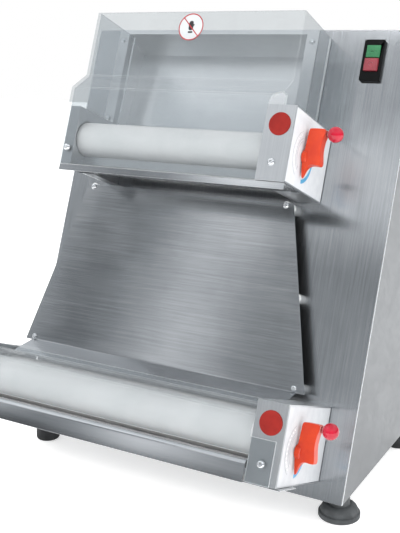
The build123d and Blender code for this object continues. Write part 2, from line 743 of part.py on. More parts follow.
def lever(head):
    """The moulded lever: hub with pointer at the plate, and a broad arm standing up and out."""
    x0 = lever_seat(head)
    u, d = head.pivot_u, head.pivot_d
    face = -d - LEVER_ARM_THICK / 2
    inner, outer = x0 + 1.0, x0 + LEVER_ARM_OUT
    arm = make_face(
        Polyline(
            (inner, face, u - LEVER_ARM_DOWN),
            (outer - 1, face, u - LEVER_ARM_DOWN),
            (outer + 1, face, u - 2),
            (outer - 1, face, u + 14),
            (outer + 2.5, face, u + LEVER_ARM_UP - 12),
            (outer + 2.5, face, u + LEVER_ARM_UP),
            (inner + 2, face, u + LEVER_ARM_UP),
            (inner, face, u + 12),
            close=True,
        )
    )
    body = extrude(arm, amount=LEVER_ARM_THICK, dir=(0, 1, 0))
    body = fillet(body.edges().filter_by(Axis.Y), 2.0)
    hub = bar(x0, x0 + HUB_THICK, u, d, HUB_RADIUS)
    tip = u - POINTER_REACH
    pointer = profile([(u, d + HUB_RADIUS - 1), (tip, d + 1), (tip, d - 1), (u - 6, d - 9)], x0 + 1, x0 + 6)
    bore = bar(x0 - EPS, x0 + HUB_THICK + 3, u, d, CAM_SHAFT_RADIUS + SEAT_FIT)
    return hub + body + pointer - bore


def ball_knob(head):
    """The ball with its short collar, on the lever's outer side near the top."""
    x = lever_seat(head) + LEVER_ARM_OUT + 2.5
    u, d = head.pivot_u + LEVER_ARM_UP - 5.5, head.pivot_d
    collar = bar(x, x + BALL_RADIUS, u, d, STEM_RADIUS)
    return Pos(x + STEM_LENGTH + BALL_RADIUS, -d, u) * Sphere(BALL_RADIUS) + collar


def cam(head):
    """The steel cam inside the box and the short shaft that the lever is fixed to."""
    outer = head.plate - SHEET - CAM_SIDE_GAP
    disc = bar(outer - CAM_THICK, outer, head.pivot_u, head.pivot_d - cam_throw(), CAM_RADIUS)
    shaft_end = lever_seat(head) + HUB_THICK + 2
    return disc + bar(outer - CAM_THICK, shaft_end, head.pivot_u, head.pivot_d, CAM_SHAFT_RADIUS)


# ---- Guards, trays and scrapers --------------------------------------------------------------
def upper_guard():
    """The clear hood over the upper rollers, open above for feeding."""
    head, t = UPPER, GUARD_THICK
    x0 = head.left - BRACKET_WIDTH - CLEARANCE - t
    x1 = head.plate - HOOD_RIGHT_IN
    low, front_d = head.bottom, head.bracket_depth + CLEARANCE
    back_d = SHEET + CLEARANCE
    above = head.bottom + BOX_HEIGHT + CLEARANCE
    bends = [(HOOD_STEP, front_d), (HOOD_KNEE, HOOD_SHELF_D), (HOOD_TOP, HOOD_SHELF_D)]
    front_path = [(low, front_d), *bends]
    front = profile(strip(front_path, t), x0, x1)
    front -= slab(head.right - CLEARANCE, x1 + EPS, low - EPS, above, 0, head.depth + 2 * t)
    left = profile([(low, back_d), *front_path, (HOOD_TOP, back_d)], x0, x0 + t)
    right = profile([(above, back_d), (above, front_d), *bends, (HOOD_TOP, back_d)], x1 - t, x1)
    guard = front + left + right
    notch_x, notch_back, notch_front = x1 + 2 * EPS, front_d - 5 * t, front_d + 2 * t
    notch = stud(notch_x, above, notch_back, notch_front, HOOD_NOTCH_RADIUS)
    guard -= notch & slab(head.right, notch_x, above - EPS, HOOD_KNEE, notch_back, notch_front)
    bolt_x, bolt_u = bracket_bolt(head)
    return guard - stud(bolt_x, bolt_u, front_d - EPS, front_d + t + EPS, BOLT_RADIUS + SEAT_FIT)


def lower_guard():
    """The clear cover over the lower front roller, with tabs bolted to bracket and box."""
    head, t = LOWER, GUARD_THICK
    x0, x1 = head.left - BRACKET_WIDTH, head.right - CLEARANCE
    front_d = head.depth + CLEARANCE
    low, tab_top = head.bottom + COVER_LOW, head.bottom + COVER_TAB_TOP
    shoulder = head.roller_u + head.roller_radius - 3.0
    crest = head.roller_u + head.roller_radius + 7.0
    path = [
        (low, front_d),
        (shoulder - 12, front_d),
        (shoulder, front_d - 6),
        (crest - 2, front_d - 24),
        (crest, front_d - 40),
        (crest + 1, front_d - 54),
        (crest + 9, front_d - 56),
    ]
    cover = profile(strip(path, t), x0, x1)
    cover -= slab(x0 - EPS, head.left + CLEARANCE, low - EPS, crest + 20, 0, front_d)
    cover -= slab(x0 - EPS, head.left + CLEARANCE, tab_top, crest + 20, 0, front_d + 2 * t)
    tab_x = head.right + COVER_TAB_REACH
    for start, end in ((head.right - COVER_TAB_OVERLAP, tab_x), (x0, head.left + COVER_TAB_OVERLAP)):
        cover += slab(start, end, low, tab_top, front_d, front_d + t)
    for start, end in ((head.right + EPS, tab_x), (x0, head.left - EPS)):
        cover += slab(start, end, head.bottom, low + EPS, front_d, front_d + t)
    for x, u in (box_bolt(head), bracket_bolt(head)):
        cover -= stud(x, u, front_d - EPS, front_d + t + EPS, BOLT_RADIUS + SEAT_FIT)
    return cover


def upper_tray():
    """The sheet under the upper front roller that ties bracket and box, with a turned-down lip."""
    head = UPPER
    seat = head.bottom - CLEARANCE
    back = head.roller_d - head.roller_radius + 4 * SHEET
    front = head.depth - TRAY_IN
    path = [(seat, back), (seat, front), (seat - TRAY_LIP, front)]
    return profile(strip(path, SHEET), head.left - BRACKET_WIDTH, head.plate)


def lower_tray():
    """The lower front rail: a sheet under bracket and box, with a rolled front edge between them."""
    head = LOWER
    seat, top = head.bottom - CLEARANCE, head.bottom + RAIL_HEIGHT
    face = head.depth + GUARD_THICK + EPS + SHEET
    x0, x1 = head.left + CLEARANCE, head.right - CLEARANCE
    end = head.plate + RAIL_END
    base = slab(head.left - BRACKET_WIDTH, end, seat - SHEET, seat, RAIL_BACK_D, head.depth)
    rail = slab(x0, x1, seat - SHEET, seat, head.depth - EPS, face)
    rail += slab(x0, x1, seat - SHEET, top, face - SHEET, face)
    centre = face - RAIL_ROLL_RADIUS
    roll = bar(x0, x1, top, centre, RAIL_ROLL_RADIUS)
    roll -= bar(x0 - EPS, x1 + EPS, top, centre, RAIL_ROLL_RADIUS - SHEET)
    roll -= slab(x0 - EPS, x1 + EPS, top - 2 * RAIL_ROLL_RADIUS, top, 0, face + EPS)
    return base + rail + roll


def scrapers(head):
    """A scraper blade under each roller, held between bracket and box."""
    x0, x1 = head.left + CLEARANCE, head.right - CLEARANCE
    edge = head.roller_u - head.roller_radius - SCRAPER_GAP
    half = SCRAPER_THICK / 2
    return [slab(x0, x1, edge - SCRAPER_TALL, edge, d - half, d + half) for d in (head.back_d, head.roller_d)]


# ---- Drive -----------------------------------------------------------------------------------
def belt(head):
    """The closed flat belt from the drive shaft to the head's driven pulley."""
    u0, d0, u1, d1 = DRIVE_U, DRIVE_D, head.roller_u, head.back_d
    length = math.hypot(u1 - u0, d1 - d0)
    across = Vector(-(d1 - d0) / length, (u1 - u0) / length)
    x0 = pulley_x(head) - BELT_WIDTH / 2
    x1 = x0 + BELT_WIDTH

    def loop(radius, grow):
        shift = across * radius
        corners = [(u0, d0, 1), (u1, d1, 1), (u1, d1, -1), (u0, d0, -1)]
        outline = [(u + side * shift.X, d + side * shift.Y) for u, d, side in corners]
        solid = profile(outline, x0 - grow, x1 + grow)
        return solid + bar(x0 - grow, x1 + grow, u0, d0, radius) + bar(x0 - grow, x1 + grow, u1, d1, radius)

    inner = PULLEY_RADIUS + BELT_SEAT
    return loop(inner + BELT_THICKNESS, 0) - loop(inner, EPS)


def drive():
    """The worm-geared motor on its mount, the drive shaft with two pulleys, and its far bearing."""
    y = DRIVE_U * math.sin(LEAN) - DRIVE_D * math.cos(LEAN)
    z = FOOT_HEIGHT + DRIVE_U * math.cos(LEAN) + DRIVE_D * math.sin(LEAN)
    half = GEARBOX_SIZE / 2
    floor = FOOT_HEIGHT + BASE_SHEET
    motor_foot = floor + MOTOR_MOUNT_HEIGHT
    box = block(GEARBOX_X - half, GEARBOX_X + half, y - half, y + half, z - half, z + half)
    box -= PANEL_PLACE * bar(
        GEARBOX_X - half - EPS, GEARBOX_X + half + EPS, DRIVE_U, DRIVE_D, DRIVE_SHAFT_RADIUS + RUNNING_FIT
    )
    motor = post(GEARBOX_X, MOTOR_Y, motor_foot, z - half, MOTOR_RADIUS)
    reach = MOTOR_RADIUS + 4
    mount = block(
        GEARBOX_X - reach, GEARBOX_X + reach, MOTOR_Y - reach, MOTOR_Y + reach, floor, motor_foot
    )
    wall = CASING_WIDTH - SHEET
    pillow0 = pulley_x(LOWER) + PULLEY_WIDTH
    low_u, high_u = DRIVE_U - PILLOW_HALF, DRIVE_U + PILLOW_HALF
    pillow = slab(pillow0, wall, low_u, high_u, DRIVE_D - PILLOW_HALF, DRIVE_D + PILLOW_HALF)
    shaft_end = pillow0 + PILLOW_THICK
    pillow -= bar(pillow0 - EPS, shaft_end + 1, DRIVE_U, DRIVE_D, DRIVE_SHAFT_RADIUS + RUNNING_FIT)
    shaft = bar(GEARBOX_X - half - 4, shaft_end, DRIVE_U, DRIVE_D, DRIVE_SHAFT_RADIUS)
    pulleys = [
        pulley(pulley_x(head) - PULLEY_WIDTH / 2, DRIVE_U, DRIVE_D, DRIVE_SHAFT_RADIUS)
        for head in (UPPER, LOWER)
    ]
    world = {"gearbox": box, "motor": motor, "motor_mount": mount}
    tilted = {
        "shaft_bearing": pillow,
        "drive_shaft": shaft,
        "drive_pulleys": Compound(children=pulleys),
        "upper_belt": belt(UPPER),
        "lower_belt": belt(LOWER),
    }
    return world, tilted


# ---- Assembly --------------------------------------------------------------------------------
def shared_parts():
    """The like pieces of both heads: front bolts, round caps, scrapers and fixed bearings."""
    tab = CLEARANCE + GUARD_THICK
    bolts = [bolt(*bracket_bolt(head), head.bracket_depth + tab) for head in (UPPER, LOWER)]
    bolts += [bolt(*box_bolt(UPPER), UPPER.depth), bolt(*box_bolt(LOWER), LOWER.depth + tab)]
    blades = [blade for head in (UPPER, LOWER) for blade in scrapers(head)]
    blocks = [piece for head in (UPPER, LOWER) for piece in bearings(head, head.back_d)]
    return {
        "front_bolts": Compound(children=bolts),
        "face_caps": Compound(children=[face_cap(UPPER), face_cap(LOWER)]),
        "scrapers": Compound(children=blades),
        "back_bearings": Compound(children=blocks),
    }


def head_parts(head):
    """Everything of one head except its guard, its tray and the pieces shared with the other."""
    n = head.name
    return {
        f"{n}_left_bracket": left_bracket(head),
        f"{n}_control_box": control_box(head),
        f"{n}_scale_plate": scale_plate(head),
        f"{n}_lever": lever(head),
        f"{n}_ball_knob": ball_knob(head),
        f"{n}_cam": cam(head),
        **rollers(head),
    }


def build():
    """Every node by name, with the origin under the middle of the whole object."""
    plate, spacers, screws = slide()
    world, tilted = drive()
    tilted.update(
        {
            "chute": chute(),
            "slide_plate": plate,
            "slide_spacers": spacers,
            "panel_screws": Compound(children=screws),
            "upper_guard": upper_guard(),
            "lower_guard": lower_guard(),
            "upper_tray": upper_tray(),
            "lower_tray": lower_tray(),
            **switch_station(),
            **shared_parts(),
            **head_parts(UPPER),
            **head_parts(LOWER),
        }
    )
    parts = {**casing(), **world}
    parts.update({name: PANEL_PLACE * shape for name, shape in tilted.items()})
    middle = middle_of(parts)
    return {name: Pos(*middle) * shape for name, shape in parts.items()}


def middle_of(parts):
    """The move that puts the origin on the floor, under the middle of the whole object's box."""
    boxes = [shape.bounding_box() for shape in parts.values()]
    x = (min(b.min.X for b in boxes) + max(b.max.X for b in boxes)) / 2
    y = (min(b.min.Y for b in boxes) + max(b.max.Y for b in boxes)) / 2
    return -x, -y, -min(b.min.Z for b in boxes)


def main():
    """Write one STEP file per node."""
    os.makedirs("parts", exist_ok=True)
    for name, shape in build().items():
        export_step(shape, f"parts/{name}.step")
        print(name, [round(v, 1) for v in shape.bounding_box().size])


if __name__ == "__main__":
    main()
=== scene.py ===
"""Looks of a two-stage bench dough sheeter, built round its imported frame.

Every sub-assembly is a class: its sizes are fields, its methods build meshes and dress them. Lengths in
the fields are millimetres. Panel directions are x to the right, u up the leaning front and d out of it.
"""

import json
import logging
import math
from dataclasses import dataclass, field
from enum import Enum
from typing import Any, Callable, Iterable, Optional

import bmesh
import bpy
from mathutils import Matrix, Vector

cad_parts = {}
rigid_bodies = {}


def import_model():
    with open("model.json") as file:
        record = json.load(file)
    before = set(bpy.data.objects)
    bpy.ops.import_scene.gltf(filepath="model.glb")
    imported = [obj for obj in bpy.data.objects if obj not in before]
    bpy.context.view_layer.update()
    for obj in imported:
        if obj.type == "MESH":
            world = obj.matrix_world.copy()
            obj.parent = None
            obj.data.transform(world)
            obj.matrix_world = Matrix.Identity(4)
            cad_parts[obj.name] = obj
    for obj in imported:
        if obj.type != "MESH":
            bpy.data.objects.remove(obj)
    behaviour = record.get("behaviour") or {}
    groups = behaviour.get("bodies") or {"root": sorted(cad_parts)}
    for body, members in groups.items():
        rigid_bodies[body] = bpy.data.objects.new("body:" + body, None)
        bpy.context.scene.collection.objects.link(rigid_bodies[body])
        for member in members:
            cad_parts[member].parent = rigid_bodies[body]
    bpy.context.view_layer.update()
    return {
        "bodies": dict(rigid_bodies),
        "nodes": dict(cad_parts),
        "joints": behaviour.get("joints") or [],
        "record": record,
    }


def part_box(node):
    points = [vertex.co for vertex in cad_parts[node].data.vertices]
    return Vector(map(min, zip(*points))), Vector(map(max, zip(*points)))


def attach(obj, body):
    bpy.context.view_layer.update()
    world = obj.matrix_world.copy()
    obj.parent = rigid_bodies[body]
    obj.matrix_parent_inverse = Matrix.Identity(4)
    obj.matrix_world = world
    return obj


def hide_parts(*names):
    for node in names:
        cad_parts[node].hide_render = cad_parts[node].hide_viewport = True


MM = 0.001
SPIN_SEED = 7
TIMES = {"operation": "MULTIPLY"}
TIMES_PLUS = {"operation": "MULTIPLY_ADD"}
LOG = logging.getLogger("sheeter")

Profile = list[tuple[float, float]]
Tree = bpy.types.NodeTree
Node = bpy.types.Node
Socket = bpy.types.NodeSocket
Mesh = bpy.types.Mesh
Thing = bpy.types.Object


# ---- Frame -----------------------------------------------------------------------------------
class Facing(Enum):
    """Which way a piece's own z axis points on the machine."""

    OUT = "out of the panel"
    RIGHT = "to the right"
    UP = "straight up"


@dataclass
class Extent:
    """The box of a solid in panel directions, in millimetres."""

    low: Vector
    high: Vector

    @property
    def middle(self) -> Vector:
        """Centre of the box."""
        return (self.low + self.high) / 2

    @property
    def size(self) -> Vector:
        """Length of the box along x, u and d."""
        return self.high - self.low


class Panel:
    """The machine's own directions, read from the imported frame."""

    def __init__(self, frame: dict[str, Any]) -> None:
        """Find the leaning panel's lower left corner and its directions.
        """
        self.nodes = frame["nodes"]
        self.joints = {joint["name"]: joint for joint in frame["joints"]}
        self.out = Vector(self.joints["upper_gap_slide"]["axis"]).normalized()
        self.right = Vector((1, 0, 0))
        self.up = self.out.cross(self.right)
        low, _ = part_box("left_side_panel")
        self.origin = low.copy()
        self.lean = math.atan2(self.out.z, -self.out.y)

    def point(self, x: float, u: float, d: float) -> Vector:
        """The world point, in metres, of panel coordinates in millimetres."""
        return self.origin + MM * (x * self.right + u * self.up + d * self.out)

    def local(self, world: Vector) -> Vector:
        """Panel coordinates, in millimetres, of a world point in metres."""
        away = (world - self.origin) / MM
        return Vector((away.dot(self.right), away.dot(self.up), away.dot(self.out)))

    def basis(self, facing: Facing) -> tuple[Vector, Vector, Vector]:
        """The world directions of a piece's own x, y and z axes."""
        if facing is Facing.OUT:
            return self.right, self.up, self.out
        if facing is Facing.RIGHT:
            return self.up, self.out, self.right
        return self.right, Vector((0, 1, 0)), Vector((0, 0, 1))

    def matrix(self, place: Vector, facing: Facing) -> Matrix:
        """A transform from a piece's millimetres to the world.

        Args:
            place: world point in metres of the piece's origin.
            facing: which way the piece's z axis points.

        Returns:
            The 4x4 matrix, with the change to metres in it.
        """
        columns = [axis * MM for axis in self.basis(facing)]
        return Matrix.Translation(place) @ Matrix(columns).transposed().to_4x4()

    def extents(self, node: str) -> list[Extent]:
        """The panel box of each separate solid in a node.

        Args:
            node: name of a CAD node.

        Returns:
            One extent per solid, in the order that the mesh holds them.
        """
        work = bmesh.new()
        work.from_mesh(self.nodes[node].data)
        bmesh.ops.remove_doubles(work, verts=work.verts, dist=1e-6)
        left, found = set(work.verts), []
        while left:
            stack, island = [next(iter(sorted(left, key=lambda v: v.index)))], []
            left.discard(stack[0])
            while stack:
                vert = stack.pop()
                island.append(self.local(vert.co))
                for edge in vert.link_edges:
                    other = edge.other_vert(vert)
                    if other in left:
                        left.discard(other)
                        stack.append(other)
            low = Vector(min(p[i] for p in island) for i in range(3))
            high = Vector(max(p[i] for p in island) for i in range(3))
            found.append(Extent(low, high))
        work.free()
        return found

    def extent(self, node: str) -> Extent:
        """The panel box of a whole node."""
        parts = self.extents(node)
        low = Vector(min(p.low[i] for p in parts) for i in range(3))
        return Extent(low, Vector(max(p.high[i] for p in parts) for i in range(3)))


# ---- Material tools --------------------------------------------------------------------------
def linear(colour: str) -> tuple[float, float, float, float]:
    """Linear RGBA of an sRGB hex colour such as "c8ccd0"."""
    channels = [int(colour[i : i + 2], 16) / 255 for i in (0, 2, 4)]
    bent = [c / 12.92 if c <= 0.04045 else ((c + 0.055) / 1.055) ** 2.4 for c in channels]
    return (*bent, 1.0)


def add_node(tree: Tree, kind: str, sets: Optional[dict] = None, **inputs: Any) -> Node:
    """Add a node with its settings and links.

    Args:
        tree: the tree to add to.
        kind: the node's type name.
        sets: properties of the node.
        inputs: sockets by name, with _ for a space; a value, or a socket to link from.

    Returns:
        The new node.
    """
    node = tree.nodes.new(kind)
    for key, value in (sets or {}).items():
        setattr(node, key, value)
    for key, value in inputs.items():
        name = key.replace("_", " ")
        socket = node.inputs[int(name[1:])] if name[1:].isdigit() else node.inputs[name]
        if isinstance(value, Socket):
            tree.links.new(value, socket)
        else:
            socket.default_value = value
    return node


def ramp(tree: Tree, value: Socket, stops: list[tuple[float, str]]) -> Socket:
    """Turn a number into colours through a ramp of (place, hex) stops."""
    node = add_node(tree, "ShaderNodeValToRGB", Fac=value)
    elements = node.color_ramp.elements
    while len(elements) < len(stops):
        elements.new(0.5)
    for element, (place, colour) in zip(elements, stops):
        element.position = place
        element.color = linear(colour)
    return node.outputs["Color"]


def spread(tree: Tree, value: Socket, low: float, high: float) -> Socket:
    """Map a 0 to 1 number to the range low to high."""
    return add_node(tree, "ShaderNodeMapRange", Value=value, To_Min=low, To_Max=high).outputs["Result"]


class Grain(Enum):
    """The way a sheet was brushed, as the size of its streaks along x, d and u in millimetres.

    Real belt lines are about a tenth of a millimetre wide. They are drawn coarser here, so that they show.
    """

    ACROSS = (90.0, 0.9, 0.9)
    UPRIGHT = (0.9, 90.0, 90.0)


@dataclass(frozen=True)
class Finish:
    """A material with its starting colour and roughness."""

    name: str
    colour: str
    roughness: float

    def start(self) -> tuple[Tree, Node, Socket]:
        """Make the material with its shader and its coordinates.

        Returns:
            The node tree, the Principled node and the Object coordinates socket.
        """
        material = bpy.data.materials.new(self.name)
        material.use_nodes = True
        tree = material.node_tree
        tree.nodes.clear()
        start = {"Base_Color": linear(self.colour), "Roughness": self.roughness}
        shader = add_node(tree, "ShaderNodeBsdfPrincipled", **start)
        add_node(tree, "ShaderNodeOutputMaterial", Surface=shader.outputs["BSDF"])
        return tree, shader, add_node(tree, "ShaderNodeTexCoord").outputs["Object"]

    def material(self) -> bpy.types.Material:
        """The finish as a Blender material, made once.

        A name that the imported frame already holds, such as machined_steel, gives the frame's own plain one.
        """
        made = bpy.data.materials.get(self.name)
        if made is None:
            self.build()
            made = bpy.data.materials[self.name]
        return made

    def build(self) -> None:
        """Make the material's nodes."""
        raise NotImplementedError

    def mottle(
        self, tree: Tree, where: Socket, size: float, detail: float = 3.0
    ) -> Socket:
        """Soft noise whose patches are size millimetres across, from 0 to 1."""
        noise = add_node(tree, "ShaderNodeTexNoise", Vector=where, Scale=1 / (size * MM), Detail=detail)
        return noise.outputs["Fac"]

    def bump(
        self, tree: Tree, shader: Node, height: Socket, depth: float
    ) -> None:
        """Put relief of the given depth in millimetres on the shader."""
        node = add_node(tree, "ShaderNodeBump", Height=height, Distance=depth * MM, Strength=1.0)
        tree.links.new(node.outputs["Normal"], shader.inputs["Normal"])


@dataclass(frozen=True)
class BrushedSteel(Finish):
    """Stainless sheet, 304 grade, belt-brushed: fine streaks one way, so a lamp draws out across them."""

    grain: Grain = Grain.UPRIGHT
    lean: float = 0.0
    stretch: float = 0.6
    shade: str = "a9acaf"
    mark_size: float = 70.0
    mark_share: float = 0.45
    streak_share: float = 0.65
    streak_depth: float = 0.003

    def build(self) -> None:
        """Streaked colour and roughness, hand marks, and a highlight drawn out across the grain."""
        tree, shader, where = self.start()
        shader.inputs["Metallic"].default_value = 1.0
        shader.inputs["Anisotropic"].default_value = self.stretch
        along = Vector((1, 0, 0))
        if self.grain is Grain.ACROSS:
            along = Vector((0, math.sin(self.lean), math.cos(self.lean)))
        tangent = add_node(tree, "ShaderNodeCombineXYZ", X=along.x, Y=along.y, Z=along.z)
        tree.links.new(tangent.outputs["Vector"], shader.inputs["Tangent"])
        turned = add_node(tree, "ShaderNodeMapping", Vector=where, Rotation=(self.lean, 0, 0))
        sizes = tuple(1 / (s * MM) for s in self.grain.value)
        squeezed = add_node(tree, "ShaderNodeMapping", Vector=turned.outputs["Vector"], Scale=sizes)
        noise = add_node(tree, "ShaderNodeTexNoise", Vector=squeezed.outputs["Vector"], Scale=1.0, Detail=4.0)
        streak = noise.outputs["Fac"]
        marks = self.mottle(tree, where, self.mark_size)
        weighed = {"_0": streak, "_1": self.streak_share, "_2": -0.05}
        tone = add_node(tree, "ShaderNodeMath", TIMES_PLUS, **weighed).outputs[0]
        both = add_node(tree, "ShaderNodeMath", TIMES_PLUS, _0=marks, _1=self.mark_share, _2=tone).outputs[0]
        colour = ramp(tree, both, [(0.25, self.shade), (0.8, self.colour)])
        tree.links.new(colour, shader.inputs["Base Color"])
        rough = spread(tree, both, self.roughness - 0.03, self.roughness + 0.04)
        tree.links.new(rough, shader.inputs["Roughness"])
        self.bump(tree, shader, streak, self.streak_depth)


@dataclass(frozen=True)
class Turned(Finish):
    """Machined or polished steel: bright, with faint tool rings a fraction of a millimetre apart."""

    ring: float = 0.8
    ring_depth: float = 0.01

    def build(self) -> None:
        """Fine noise in roughness and relief over bare metal."""
        tree, shader, where = self.start()
        shader.inputs["Metallic"].default_value = 1.0
        lines = self.mottle(tree, where, self.ring, 5.0)
        rough = spread(tree, lines, max(self.roughness - 0.06, 0.03), self.roughness + 0.08)
        tree.links.new(rough, shader.inputs["Roughness"])
        self.bump(tree, shader, lines, self.ring_depth)


@dataclass(frozen=True)
class Moulded(Finish):
    """Injection-moulded plastic: even colour with a faint cloud, and a fine spark-eroded skin."""

    shade: str = "000000"
    skin: float = 0.9
    relief: float = 0.015
    gloss: float = 0.5
    cloud_size: float = 14.0

    def build(self) -> None:
        """Two close tones, a fine skin and a soft change of gloss where hands touch it."""
        tree, shader, where = self.start()
        shader.inputs["Specular IOR Level"].default_value = self.gloss
        cloud = self.mottle(tree, where, self.cloud_size)
        colour = ramp(tree, cloud, [(0.35, self.shade), (0.65, self.colour)])
        tree.links.new(colour, shader.inputs["Base Color"])
        rough = spread(tree, cloud, self.roughness + 0.06, self.roughness - 0.04)
        tree.links.new(rough, shader.inputs["Roughness"])
        self.bump(tree, shader, self.mottle(tree, where, self.skin, 2.0), self.relief)


@dataclass(frozen=True)
class RollerPlastic(Finish):
    """White acetal, turned on a lathe: satin, with tool rings round the roller and a dusty bloom."""

    shade: str = "d4d8da"
    ring: float = 1.4
    bloom: float = 45.0
    ring_depth: float = 0.008

    def build(self) -> None:
        """Rings across x for the tool marks, clouds for the bloom."""
        tree, shader, where = self.start()
        rings = add_node(tree, "ShaderNodeMapping", Vector=where, Scale=(1 / (self.ring * MM), 4.0, 4.0))
        noise = add_node(tree, "ShaderNodeTexNoise", Vector=rings.outputs["Vector"], Scale=1.0, Detail=3.0)
        lines = noise.outputs["Fac"]
        cloud = self.mottle(tree, where, self.bloom)
        colour = ramp(tree, cloud, [(0.3, self.shade), (0.7, self.colour)])
        tree.links.new(colour, shader.inputs["Base Color"])
        rough = spread(tree, lines, self.roughness - 0.05, self.roughness + 0.1)
        tree.links.new(rough, shader.inputs["Roughness"])
        self.bump(tree, shader, lines, self.ring_depth)


@dataclass(frozen=True)
class LitFloor(Finish):
    """A light table's white sheet: it glows, so the contact shadows on it are faint."""

    glow: float = 0.55
    cloud_size: float = 400.0

    def build(self) -> None:
        """An even glow with a faint cloud in the sheet's gloss."""
        tree, shader, where = self.start()
        shader.inputs["Emission Color"].default_value = linear("ffffff")
        shader.inputs["Emission Strength"].default_value = self.glow
        cloud = self.mottle(tree, where, self.cloud_size)
        tree.links.new(spread(tree, cloud, self.roughness - 0.05, self.roughness), shader.inputs["Roughness"])


@dataclass(frozen=True)
class ClearSheet(Finish):
    """Folded polycarbonate, 3 mm: smoke-grey through the sheet, mirror-bright at a glancing angle."""

    tint: str = "dfe1e3"
    haze: float = 0.07
    wipe: float = 60.0

    def build(self) -> None:
        """Mostly see-through, with a mirror that grows at glancing angles and a light wiping haze."""
        tree, shader, where = self.start()
        shader.inputs["IOR"].default_value = 1.585
        wiped = self.mottle(tree, where, self.wipe)
        rough = spread(tree, wiped, self.roughness, self.roughness + 0.1)
        tree.links.new(rough, shader.inputs["Roughness"])
        clear = add_node(tree, "ShaderNodeBsdfTransparent", Color=linear(self.tint))
        facing = add_node(tree, "ShaderNodeLayerWeight", Blend=0.5).outputs["Facing"]
        steep = add_node(tree, "ShaderNodeMath", {"operation": "POWER"}, _0=facing, _1=5.0).outputs[0]
        film = spread(tree, wiped, self.haze * 0.6, self.haze * 1.4)
        clamped = {**TIMES_PLUS, "use_clamp": True}
        share = add_node(tree, "ShaderNodeMath", clamped, _0=steep, _1=0.9, _2=film).outputs[0]
        both = {"_1": clear.outputs["BSDF"], "_2": shader.outputs["BSDF"]}
        mix = add_node(tree, "ShaderNodeMixShader", _0=share, **both)
        output = next(n for n in tree.nodes if n.type == "OUTPUT_MATERIAL")
        tree.links.new(mix.outputs["Shader"], output.inputs["Surface"])


